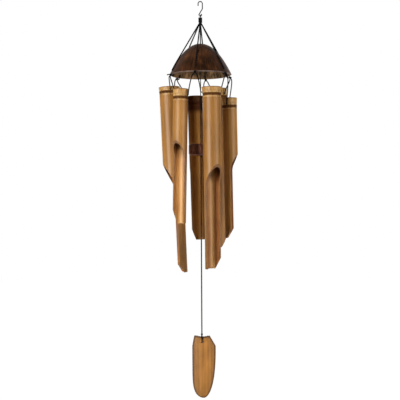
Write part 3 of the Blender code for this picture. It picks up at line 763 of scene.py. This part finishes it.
def clapper_finish(colours):
    """Dark palm wood: short pale flecks drawn out along the trunk, over a slow drift of colour."""
    made = Finish("clapper_wood", 0.46, specular=0.08)
    (dim,) = shades(colours.clapper, 0.3)
    stops = (0.40, dim), (0.51, colours.clapper), (0.62, colours.clapper_pale)
    fleck, drift = ((520, 520, 90), 4, 0.65), ((60, 60, 25), 3)
    return made.grained(fleck, drift, 0.5, stops, (0.00025, 0.6), (0.36, 0.58))


def thread_finish(name, colour):
    """Cord: fibres that follow the strands, some of them slightly greyed."""
    made = Finish(name, 0.7, specular=0.0)
    fibre = made.noise((9000, 700), 3)
    dim, pale = shades(colour, 0.5, 2.6)
    made.feed("Base Color", made.ramp(fibre, (0.35, dim), (0.55, colour), (0.75, pale)))
    made.rough(fibre, 0.58, 0.82)
    made.bump(fibre, 0.00008, 0.6)
    return made.made


def cord_finish(colours):
    """The black cord that carries the tubes."""
    return thread_finish("twisted_cord", colours.cord)


def line_finish(colours):
    """The worn cord of the clapper and the sail."""
    return thread_finish("worn_line", colours.line)


def wire_finish(colours):
    """Plated wire with drawn lines, dark in most places and plain metal in spots: the dark patches are
    painted reflections of dark surroundings.
    """
    made = Finish("plated_wire", 0.25, 1.0)
    line = made.noise((6000, 120), 3)
    (dim,) = shades(colours.wire, 0.07)
    made.feed("Base Color", made.ramp(made.noise((160, 160, 160), 2), (0.58, dim), (0.70, colours.wire)))
    made.rough(line, 0.18, 0.36)
    made.bump(line, 0.00003, 0.4)
    return made.made


def sail_finish(colours):
    """Split bamboo: fibres along the sail, clouded smoke, and an edge burnished dark."""
    made = Finish("sail_bamboo", 0.36, specular=0.06)
    fibre = made.noise((2000, 26))
    streak = made.noise((240, 8), 4, 0.6)
    cloud, line = made.noise((45, 45, 22)), made.noise((420, 2.5), 2)
    value = made.total(-0.225, (streak, 0.45), (cloud, 0.45), (fibre, 0.25), (line, 0.45))
    dim, pale = shades(colours.sail, 0.50, 1.45)
    ground = made.ramp(value, (0.38, dim), (0.56, colours.sail), (0.76, pale))
    wander = made.step("MULTIPLY", made.noise((400, 400, 400), 2), 0.0012)
    inset = made.step("SUBTRACT", made.mark("edge"), wander)
    ground = made.over(made.reach(inset, 0.001, 0.012, 0.4, 0.0), ground, dim)
    burnished = made.reach(inset, 0.0008, 0.0036, 0.9, 0.0)
    made.feed("Base Color", made.over(burnished, ground, colours.sail_edge))
    made.rough(streak, 0.36, 0.54)
    made.bump(made.step("ADD", fibre, streak), 0.00014, 0.5)
    return made.made


def finish_named(name, make):
    """A finish, made the first time that it is asked for."""
    return bpy.data.materials.get(name) or make(bpy.context.scene.chime_colours)


def cord_patch(route, side, sizes, thick=PLAIN):
    """A twisted cord along a route."""
    return carried(evened(route, sizes.cord_step), thick / 2, side, 14, sizes.strands, sizes.lay)


def cord_piece(name, route, side, body, *nodes, thick=PLAIN, worn=False):
    """A cord along a route, in place of its solid."""
    sizes = bpy.context.scene.chime_sizes
    look = finish_named("worn_line", line_finish) if worn else finish_named("twisted_cord", cord_finish)
    return settle(solid(name, [cord_patch(route, side, sizes, thick)], [look]), body, "black_cord", *nodes)


class CHIME_OT_hook(bpy.types.Operator):
    """Bends the wire hook"""

    bl_idname = "chime.hook"
    bl_label = "Hook"

    def execute(self, context):
        route = evened(hook_route(), 0.0003)
        patch = carried(route, WIRE / 2, (0, 1, 0), 20)
        hook = solid("hook", [patch], [finish_named("plated_wire", wire_finish)])
        settle(hook, "hook", "bright_wire", "s_hook")
        return {"FINISHED"}


class CHIME_OT_canopy(bpy.types.Operator):
    """Lays the hanging loop, the whipping, the canopy cords and the centre cord"""

    bl_idname = "chime.canopy"
    bl_label = "Canopy cords"

    def execute(self, context):
        cord_piece("gather_loop", loop_route(), (1, 0, 0), "hanger", "hanger_loop")
        coil = carried(evened(whipping_route(), 0.0003), 0.48 * PITCH, (0, 0, 1), 12, 2, 0.0035)
        look = finish_named("twisted_cord", cord_finish)
        settle(solid("gather_whipping", [coil], [look]), "hanger", "black_cord", "whipping")
        for index in range(len(CULMS)):
            angle = station(index)
            across = bearing(angle + math.pi / 2, 1, 0)
            name, node = f"canopy_line_{index + 1}", f"canopy_cord_{index + 1}"
            cord_piece(name, canopy_route(angle), across, "hanger", node, thick=BOLD)
        plumb = [(0, 0, WHIP_MIDDLE - GAP), (0, 0, APEX_KNOT + 0.5 * KNOT)]
        cord_piece("center_line", plumb, (1, 0, 0), "hanger", "center_cord")
        return {"FINISHED"}


class CHIME_OT_knots(bpy.types.Operator):
    """Ties the knots at the rim, under the shell, under the clapper and over the sail"""

    bl_idname = "chime.knots"
    bl_label = "Knots"

    def execute(self, context):
        sizes = context.scene.chime_sizes
        look = finish_named("twisted_cord", cord_finish)
        for index in range(len(CULMS)):
            angle = station(index)
            at = bearing(angle, KNOT_RING, KNOT_Z)
            across = bearing(angle + math.pi / 2, 1, 0)
            tail = sizes.tail if index == LONG_TAILED else 0.5 * sizes.tail
            ends = at + tail * np.array([bearing(angle, r, z) for r, z in ((0, 0), (0.5, 0.05), (1, -0.12))])
            knot = knot_patch(at, facing(bearing(angle, 1, 0.35)), KNOT + GAP, CORD)
            tie = solid(f"rim_tie_{index + 1}", [knot, cord_patch(eased(ends), across, sizes)], [look])
            settle(tie, "hanger", "black_cord", f"rim_knot_{index + 1}")
        for name, z, body, node in (
            ("apex_tie", APEX_KNOT, "clapper_gimbal", "apex_knot"),
            ("clapper_tie", CLAPPER_KNOT, "sail_line", "clapper_knot"),
            ("sail_tie", SAIL_KNOT, "sail_turn", "sail_knot"),
        ):
            patches = [knot_patch(np.array((0, 0, z)), facing((0.2, -1, 0.3)), KNOT, CORD)]
            if node == "sail_knot":
                neck = np.array([(0, 0, z), (0, 0, SAIL_TOP - SAIL_NOTCH + SEAT)])
                patches.append(cord_patch(neck, (1, 0, 0), sizes, NECK))
            settle(solid(name, patches, [look]), body, "black_cord", node)
        return {"FINISHED"}


class CHIME_OT_shell(bpy.types.Operator):
    """Turns the half coconut shell and drills its holes"""

    bl_idname = "chime.shell"
    bl_label = "Coconut shell"

    def execute(self, context):
        angle = np.linspace(0, 2 * math.pi, 193)
        rows = np.sin(np.linspace(0, math.pi / 2, 44)) * SHELL_R
        faces = []
        for look, (profile, around, run) in enumerate((
            (shell_face(rows), 0.045, rows * 1.5),
            (self.lip(), 0.05, np.linspace(0, 0.006, 9)),
            (shell_face(rows[::-1], -SHELL_WALL), 0.045, rows[::-1] * 1.5),
        )):
            chart = chart_of(angle[None] * around, run[:, None])
            faces.append(Patch(self.turned(profile, angle), chart, look))
        looks = [
            finish_named("coconut_outside", husk_finish),
            finish_named("coconut_edge", rim_finish),
            finish_named("coconut_inside", lining_finish),
        ]
        shell = solid("half_shell", faces, looks)
        bars = [((0, 0, APEX + SHELL_WALL), (0, 0, APEX - 2 * SHELL_WALL))]
        for index in range(len(CULMS)):
            ends = (wall_point(0, out) for out in (SHELL_WALL, -2 * SHELL_WALL))
            bars.append([bearing(station(index), *end) for end in ends])
        drill(shell, bars, PASS)
        settle(shell, "hanger", "coconut", "coconut_shell")
        return {"FINISHED"}

    def turned(self, profile, angle):
        """A (radius, z) profile turned about the axis, with a slight wave in its radius."""
        wave = 1 + 0.004 * np.sin(2 * angle + 0.6) + 0.003 * np.sin(5 * angle)
        return ring(profile[:, :1] * wave, angle, profile[:, 1:])

    def lip(self):
        """The sawn edge: flat across the wall, with both corners broken."""
        share = np.linspace(0, 1, 9)[:, None]
        swell = 0.0003 * np.sin(math.pi * share) ** 0.5
        return RIM_EDGE - SHELL_WALL * share * RIM_OUT + swell * RIM_DOWN


class CHIME_OT_slings(bpy.types.Operator):
    """Hangs a cord through each tube"""

    bl_idname = "chime.slings"
    bl_label = "Slings"

    def execute(self, context):
        for index, culm in enumerate(CULMS):
            out = bearing(station(index + 0.5), 1, 0)
            name, node = f"hanging_cord_{culm.place}", f"sling_{culm.place}"
            cord_piece(name, eased(sling_route(index), 1), out, f"{culm.place}_sling", node)
        return {"FINISHED"}


def culm_radius(culm, z):
    """Outer radius at a height from the node: a taper below, a flare above, and ridges round a groove."""
    flare = culm.flare * (np.clip(z, 0, None) / culm.node) ** 1.4
    ridges = 0.0006 * bell(z - 0.0013, 0.0010) + 0.0003 * bell(z + 0.0012, 0.0014)
    return bore_radius(culm, z) + culm.wall + flare + ridges - 0.0008 * bell(z, 0.00055)


def bore_radius(culm, z):
    """Inner radius at a height from the node, tapered as the outside is."""
    below = np.clip(-z, 0, None) / (culm.length - culm.node)
    return culm.diameter / 2 * (1 - TAPER * below) - culm.wall


def scoop_line(culm):
    """Side view of the scoop, as (distance outwards from the culm's middle, height from the node):
    a slope and a large curve into the flat of the tongue."""
    radius = culm.diameter / 2
    start, end = culm.node - culm.scoop, culm.node - culm.length
    top = (radius + 2 * culm.wall, start + 2 * culm.wall * SCOOP_SLOPE)
    corner = (culm.floor, start - (radius - culm.floor) * SCOOP_SLOPE)
    return rounded([top, corner, (culm.floor, end - culm.wall)], SCOOP_CURVE, 16)


def scoop_depth(culm, z):
    """How far outwards from the culm's middle the scoop leaves material at a height."""
    line = scoop_line(culm)[::-1]
    return np.interp(z, line[:, 1], line[:, 0])


def slant_depth(culm, z):
    """How far from the culm's middle the cut across the tip leaves material, in that cut's direction."""
    rise = z - culm.node + culm.length
    return culm.tip - culm.diameter / 2 + rise / math.tan(math.radians(culm.slant))


def culm_rows(culm):
    """Heights of the rows, close together at the node and the scoop, with one where the scoop meets the
    outside and one where it meets the bore."""
    end, start = culm.node - culm.length, culm.node - culm.scoop
    fine = np.linspace(start - 0.020, start + 0.002, 3000)
    depth = scoop_depth(culm, fine)
    meets = [np.interp(0, depth - radius(culm, fine), fine) for radius in (culm_radius, bore_radius)]
    rows = [
        np.linspace(end, end + 0.045, 80), np.linspace(end + 0.045, start - 0.060, 40),
        np.linspace(start - 0.060, start, 60), np.linspace(start, -0.006, 50),
        np.linspace(-0.006, 0.005, 45), np.linspace(0.005, culm.node - 0.0004, 10), meets,
    ]
    return np.unique(np.concatenate(rows))[::-1]


def wall_angles(culm, z, radius, around):
    """Angles across what the scoop and the tip's cut leave of a circle. Each takes the angles within
    arccos(depth / radius) of its own direction."""
    scoop = np.arccos(np.clip(scoop_depth(culm, z) / radius, -1, 1))
    slant = np.arccos(np.clip(slant_depth(culm, z) / radius, -1, 1))
    turn = np.where(slant > 0, math.radians(culm.slant_turn), 0)
    first = np.maximum(scoop, slant + turn)[:, None]
    last = 2 * math.pi - np.maximum(scoop, slant - turn)[:, None]
    return first + (last - first) * np.linspace(0, 1, around + 1)


def culm_patches(culm, sizes, seed):
    """The tube's faces about the middle of its node, with its scoop towards +X. Each row of the wall covers
    the angles that the scoop leaves, and flat strips join the outside to the bore along the cut."""
    patches = []

    def lay(look, points, across, along):
        patches.append(Patch(points, chart_of(across, along), look))

    z = culm_rows(culm)
    depth, radius = scoop_depth(culm, z), culm.diameter / 2
    outer, inner = culm_radius(culm, z), bore_radius(culm, z)
    angle = wall_angles(culm, z, outer, sizes.around)
    uneven = np.sin(2 * angle + seed) + 0.5 * np.sin(3 * angle + 2 * seed + 9 * z[:, None])
    outside = ring(outer[:, None] * (1 + sizes.out_of_round * uneven), angle, z[:, None])
    lay(SKIN, outside, angle * radius, z[:, None])

    low = z < -BORE_TOP
    bore_angle = wall_angles(culm, z[low], inner[low], sizes.around)
    bore = ring(inner[low, None], bore_angle, z[low, None])
    lay(BORE, bore, bore_angle * radius, z[low, None])

    cut = low & (depth <= outer + 1e-7)
    through = (depth <= inner)[cut, None]
    chord = np.stack((depth[cut], 0 * z[cut], z[cut]), axis=-1)
    across = np.linspace(0, 1, 5)[None, :, None]
    for column in (0, -1):
        inside = np.where(through, bore[cut[low], column], chord)
        strip = outside[cut, column][:, None] * (1 - across) + inside[:, None] * across
        lay(CUT, strip, across[..., 0] * culm.wall, z[cut, None])
    across = across.reshape(-1, 1, 1)
    tip = outside[-1] * (1 - across) + bore[-1] * across
    lay(CUT, tip, across[..., 0] * culm.wall, angle[-1] * 0.01)

    full = np.linspace(0, 2 * math.pi, sizes.around + 1)[None]
    top, hold = z[0], radius - culm.wall
    share = np.linspace(1, 0, 14)[:, None]
    under = -SEPTUM / 2 - (-z[low][0] - SEPTUM / 2) * share**4
    floor = SEPTUM / 2 + 0.0010 * share**6
    lay(BORE, ring(inner[low][0] * share, full, under), full * 0.01, share * 0.01)
    lay(BORE, ring(hold * share, full, floor), full * 0.01, share * 0.01)
    cup = np.linspace(floor[0, 0], top, 12)[:, None]
    lay(BORE, ring(hold, full, cup), full * hold, cup)

    turn = np.linspace(0, math.pi, 11)
    outline, mouth = outside[0] * (1, 1, 0), ring(hold, full, 0.0)[0]
    sway = (np.sign(np.cos(turn)) * np.abs(np.cos(turn)) ** 0.4)[:, None, None]
    lip = (outline + mouth) / 2 + sway * (outline - mouth) / 2
    lip[..., 2] = top + 0.0004 * np.abs(np.sin(turn))[:, None] ** 0.6
    lay(CUT, lip, full * hold, np.linspace(0, culm.wall, 11)[:, None])
    return patches


def flesh_and_painted_light(culm, points):
    """How pale the inside is at points: a tone, a painted highlight streak along it, and painted light and
    shade beside the cut edges by the sign of its amount, the last two as bell curves of the angle."""
    angle = np.degrees(np.arctan2(points[:, 1], points[:, 0]))
    off = (angle - culm.highlight_angle + 180) % 360 - 180
    return culm.flesh + culm.highlight_gain * bell(off, 16) + culm.wall_light_and_shade * bell(np.abs(angle) - 90, 26)


def skin_tone_and_shade(culm, points):
    """How pale the skin is at points: a tone down to the node, then evenly more pale to the tip, so that a
    low top tone stands as painted shade from the neighbouring tubes.
    """
    return culm.tone + culm.fade * np.clip(-points[:, 2] / (culm.length - culm.node), 0, 1)


def smoke_depth(culm, points):
    """How smoked the skin is at points: nearly full at the top, fading over the last quarter of the way."""
    return 0.95 * np.clip((culm.smoke - culm.node + points[:, 2]) / (culm.smoke / 4 + GAP), 0, 1)


def culm_seat(index):
    """Place and turn of a tube about the middle of its node, and its turn with the scoop towards +X."""
    culm = CULMS[index]
    at, turn = hole_frame(index)
    turn = turn @ spin("Y", -culm.lean_out)
    return at + turn @ (culm.inset, 0, -HOLE_ABOVE_NODE), turn, turn @ spin("Z", culm.facing)


class CHIME_OT_tubes(bpy.types.Operator):
    """Carves and drills the bamboo tubes"""

    bl_idname = "chime.tubes"
    bl_label = "Bamboo tubes"

    def execute(self, context):
        sizes = context.scene.chime_sizes
        looks = [
            finish_named("bamboo_skin", skin_finish),
            finish_named("bamboo_bore", bore_finish),
            finish_named("bamboo_cut", cut_finish),
        ]
        for index, culm in enumerate(CULMS):
            at, turn, scoop_turn = culm_seat(index)
            patches = culm_patches(culm, sizes, 1.7 * index)
            local = np.concatenate([patch.points.reshape(-1, 3) for patch in patches])
            marks = {
                # the skin's tone holds painted shade on the upper parts of the back tubes
                "tone": skin_tone_and_shade(culm, local),
                # the inside's tone holds a painted highlight streak and painted light and shade beside the
                # cut
                "flesh": flesh_and_painted_light(culm, local),
                "smoke": smoke_depth(culm, local),
                "below_top": culm.node - local[:, 2],
                "below_scoop": culm.node - culm.scoop - local[:, 2],
            }
            placed = []
            for points, chart, look in patches:
                placed.append(Patch(at + points @ scoop_turn.T, chart + (index * 0.37, 0), look))
            tube = solid(f"bamboo_{culm.place}", placed, looks, marks)
            holes = hole_frame(index)[0]
            across = turn @ (0, culm.diameter, 0)
            drill(tube, [(holes - across, holes + across)], PASS)
            settle(tube, f"{culm.place}_tube", "bamboo", f"tube_{culm.place}")
        return {"FINISHED"}


class CHIME_OT_clapper(bpy.types.Operator):
    """Turns the clapper and hangs it on its cord"""

    bl_idname = "chime.clapper"
    bl_label = "Clapper"

    def execute(self, context):
        half, rim = CLAPPER_H / 2, CLAPPER_R - CLAPPER_ROUND
        corner = np.radians(np.arange(90, -1, -9))
        upper = (rim, half) + CLAPPER_ROUND * np.column_stack((np.cos(corner), np.sin(corner) - 1))
        flat = np.column_stack((np.linspace(PASS, rim, 10), np.full(10, half)))[:-1]
        side = np.concatenate((flat, upper))
        side = np.concatenate((side, side[::-1] * (1, -1), side[:1]))
        angle = np.linspace(0, 2 * math.pi, 129)[None]
        points = ring(side[:, :1], angle, side[:, 1:]) + (0, 0, CLAPPER_Z)
        patch = Patch(points, chart_of(angle * CLAPPER_R, lengths(side)[:, None]))
        look = finish_named("clapper_wood", clapper_finish)
        settle(solid("striker", [patch], [look]), "clapper_line", "dark_wood", "clapper")
        plumb = np.array([(0, 0, APEX_KNOT - 0.5 * KNOT), (0, 0, CLAPPER_KNOT + 0.5 * KNOT)])
        cord_piece("striker_line", plumb, (1, 0, 0), "clapper_line", "clapper_cord", thick=FINE, worn=True)
        return {"FINISHED"}


def sail_sides(depth):
    """Left and right reach at depths below the top: straight shoulders, then sides that fall to the tip as
    the root of one minus a power of the depth."""
    share = np.clip(depth / SAIL_SHOULDER, 0, 1)
    fall = np.clip((depth - SAIL_SHOULDER) / (SAIL_LENGTH - SAIL_SHOULDER), 0, 1)
    sides = []
    for way, top, wide, power in ((-1, SAIL_TOP_LEFT, SAIL_LEFT, 7.5), (1, SAIL_TOP_RIGHT, SAIL_RIGHT, 2.6)):
        reach = top + (wide - top) * share - way * SAIL_TIP
        sides.append(SAIL_TIP + way * reach * np.sqrt(1 - fall**power))
    return sides


def sail_wear(x, depth):
    """How far the sail's top edge is worn down: a flat-bottomed dip and ripples, gone at the hole's depth."""
    dip = 0.0013 * bell((x - 0.001) ** 2, 0.0090**2) + 0.0003 * np.sin(1500 * x + 0.7)
    return np.clip(dip, 0, None) * np.clip(1 - depth / SAIL_HOLE, 0, 1)


def sail_patches():
    """The sail's outside, inside and edge, and how far each point lies in from the edge. Both faces are bowed
    to circles about one upright axis, and the edge swells across the wall as half a sine."""
    fall = np.sin(np.linspace(0, math.pi / 2, 70)) * 0.9985
    shoulder = np.linspace(0, SAIL_SHOULDER, 14)[:-1]
    depth = np.concatenate((shoulder, SAIL_SHOULDER + (SAIL_LENGTH - SAIL_SHOULDER) * fall))[:, None]
    left, right = sail_sides(depth)
    x = left + (right - left) * np.linspace(0, 1, 41)
    centre = (SAIL_RIGHT - SAIL_LEFT) / 2
    lean = np.arcsin((x - centre) / SAIL_BOW)
    seat = math.sqrt(SAIL_BOW**2 - centre**2) - SAIL_WALL / 2
    z = SAIL_TOP - depth - sail_wear(x, depth)
    patches, rims = [], []
    for radius in (SAIL_BOW, SAIL_BOW - SAIL_WALL):
        face = np.stack((centre + radius * np.sin(lean), seat - radius * np.cos(lean), z), axis=-1)
        patches.append(Patch(face, chart_of(x, z)))
        rims.append(np.concatenate((face[0], face[1:, -1], face[-1, -2::-1], face[-2::-1, 0])))
    through = np.linspace(0, 1, 5)[:, None, None]
    outward = unit((rims[0] - rims[0].mean(axis=0)) * (1, 0, 1))
    edge = rims[0] * (1 - through) + rims[1] * through + 0.0005 * np.sin(math.pi * through) * outward
    patches.append(Patch(edge, chart_of(through[..., 0] * SAIL_WALL, lengths(rims[0])[None])))
    inset = np.minimum(np.minimum(x - left, right - x), np.minimum(depth, SAIL_LENGTH - depth))
    return patches, np.concatenate((inset.ravel(), inset.ravel(), np.zeros(edge.shape[0] * edge.shape[1])))


class CHIME_OT_sail(bpy.types.Operator):
    """Splits the sail and ties it to its line"""

    bl_idname = "chime.sail"
    bl_label = "Sail"

    def execute(self, context):
        patches, inset = sail_patches()
        sail = solid("wind_sail", patches, [finish_named("sail_bamboo", sail_finish)], {"edge": inset})
        top, low, reach = SAIL_TOP - SAIL_NOTCH + SEAT, SAIL_TOP - SAIL_HOLE, 3 * SAIL_WALL
        for z, radius in ((low, PASS), (top + GAP, SEAT + GAP)):
            drill(sail, [((0, -reach, z), (0, reach, z))], radius)
        settle(sail, "sail_turn", "split_bamboo", "sail")

        start, end = (0, 0, CLAPPER_KNOT - 0.5 * KNOT), (0, 0, SAIL_KNOT + 0.5 * KNOT)
        route, side = np.array([start, end]), (1, 0, 0)
        line = cord_piece("sail_line_cord", route, side, "sail_line", "sail_cord", thick=BOLD, worn=True)
        half = SAIL_WALL / 2 + 2 * SEAT
        ties = [(0, 0, top), (0, half, top), (0, half, low), (0, -half, low), (0, -half, top), (0, 0, top)]
        cord_piece("sail_tie_loop", rounded(ties, 1.4 * CORD), (1, 0, 0), "sail_turn", "sail_loop")
        return {"FINISHED"}


class Lamp(NamedTuple):
    """A tall soft light: place and width in metres, power in watts, colour, and whether surfaces and
    reflections take light from it."""

    name: str
    at: tuple
    width: float
    power: float
    colour: tuple = (1.0, 1.0, 1.0)
    lights: bool = True
    shines: bool = True


WARM = (1.0, 0.88, 0.74)
LAMPS = (
    Lamp("left_strip", (-1.25, -1.40, -0.26), 0.45, 30.0),
    Lamp("right_strip", (1.66, -0.79, -0.26), 0.40, 17.0),
    Lamp("left_sheen", (-1.30, -1.34, -0.26), 0.45, 150.0, WARM, lights=False),
    Lamp("right_sheen", (1.30, -1.30, -0.26), 0.45, 70.0, WARM, lights=False),
    Lamp("back_fill", (0.25, 1.85, 0.10), 0.90, 13.0, shines=False),
)
LAMP_HEIGHT, LAMP_AIM = 0.80, (0, 0, -0.36)
LENS, CAMERA_AT, CAMERA_ROLL = 81.0, (-0.0023, -1.728, -0.380), 0.0051
FLOOR_REACH, FLOOR_Z, FLOOR_GREY, FLOOR_GLOW = 12.0, -1.60, 0.82, 0.89
SKY_LIGHT = 0.14


class CHIME_OT_stage(bpy.types.Operator):
    """Sets the pale floor, the surroundings, the lamps and the camera"""

    bl_idname = "chime.stage"
    bl_label = "Stage"

    def execute(self, context):
        self.floor()
        self.sky(context.scene)
        for lamp in LAMPS:
            self.hang(lamp)
        view = bpy.data.cameras.new("camera")
        view.lens = LENS
        view.sensor_width = 36.0
        camera = bpy.data.objects.new("camera", view)
        camera.location = CAMERA_AT
        camera.rotation_euler = (math.pi / 2, CAMERA_ROLL, 0)
        context.collection.objects.link(camera)
        context.scene.camera = camera
        context.scene.view_settings.view_transform = "Standard"
        return {"FINISHED"}

    def floor(self):
        """A wide pale floor below, which keeps the shadow and looks white to the camera."""
        side = np.linspace(-FLOOR_REACH, FLOOR_REACH, 9)
        x, y = np.meshgrid(side, side, indexing="ij")
        points = np.stack((x, y, np.full_like(x, FLOOR_Z)), axis=-1)
        made = Finish("pale_floor", 0.9, specular=0.0)
        made.shader.inputs["Base Color"].default_value = (FLOOR_GREY, FLOOR_GREY, FLOOR_GREY, 1)
        seen = made.step("MULTIPLY", seen_rays(made.tree), FLOOR_GLOW)
        glow = made.node("ShaderNodeEmission", {"Strength": seen})
        both = made.node("ShaderNodeAddShader", {0: made.shader.outputs[0], 1: glow.outputs[0]})
        made.tree.links.new(both.outputs[0], made.tree.nodes["Material Output"].inputs["Surface"])
        solid("floor", [Patch(points, chart_of(x, y))], [made.made])

    def sky(self, scene):
        """Even white surroundings: white where they are seen, and dimmer as a light."""
        world = bpy.data.worlds.new("surroundings")
        world.use_nodes = True
        tree = world.node_tree
        ground = tree.nodes["Background"]
        ground.inputs["Color"].default_value = (1, 1, 1, 1)
        inputs = {"Value": seen_rays(tree), "To Min": SKY_LIGHT, "To Max": 1.0}
        level = add_node(tree, "ShaderNodeMapRange", inputs)
        tree.links.new(level.outputs[0], ground.inputs["Strength"])
        scene.world = world

    def hang(self, lamp):
        """Puts a lamp in its place, aimed at the middle of the chime."""
        light = bpy.data.lights.new(lamp.name, "AREA")
        light.shape = "RECTANGLE"
        light.size, light.size_y = lamp.width, LAMP_HEIGHT
        light.energy, light.color = lamp.power, lamp.colour
        made = bpy.data.objects.new(lamp.name, light)
        made.location = lamp.at
        aim = Vector(LAMP_AIM) - Vector(lamp.at)
        made.rotation_euler = aim.to_track_quat("-Z", "Y").to_euler()
        made.visible_diffuse, made.visible_glossy = lamp.lights, lamp.shines
        bpy.context.collection.objects.link(made)


OPERATORS = (
    CHIME_OT_hook, CHIME_OT_canopy, CHIME_OT_knots, CHIME_OT_shell, CHIME_OT_slings, CHIME_OT_tubes,
    CHIME_OT_clapper, CHIME_OT_sail, CHIME_OT_stage,
)


class CHIME_PT_panel(bpy.types.Panel):
    """Lists the chime's pieces and finishes"""

    bl_idname = "CHIME_PT_panel"
    bl_label = "Bamboo wind chime"
    bl_space_type = "VIEW_3D"
    bl_region_type = "UI"
    bl_category = "Chime"

    def draw(self, context):
        for group in (context.scene.chime_sizes, context.scene.chime_colours):
            box = self.layout.box()
            for name in group.__annotations__:
                box.prop(group, name)
        for operator in OPERATORS:
            self.layout.operator(operator.bl_idname)


CLASSES = (ChimeSizes, ChimeColours, *OPERATORS, CHIME_PT_panel)


def register():
    for kind in CLASSES:
        bpy.utils.register_class(kind)
    bpy.types.Scene.chime_sizes = PointerProperty(type=ChimeSizes)
    bpy.types.Scene.chime_colours = PointerProperty(type=ChimeColours)


def unregister():
    del bpy.types.Scene.chime_colours
    del bpy.types.Scene.chime_sizes
    for kind in reversed(CLASSES):
        bpy.utils.unregister_class(kind)


def main():
    register()
    for operator in OPERATORS:
        getattr(bpy.ops.chime, operator.bl_idname.split(".")[1])()


if __name__ == "__main__":
    main()
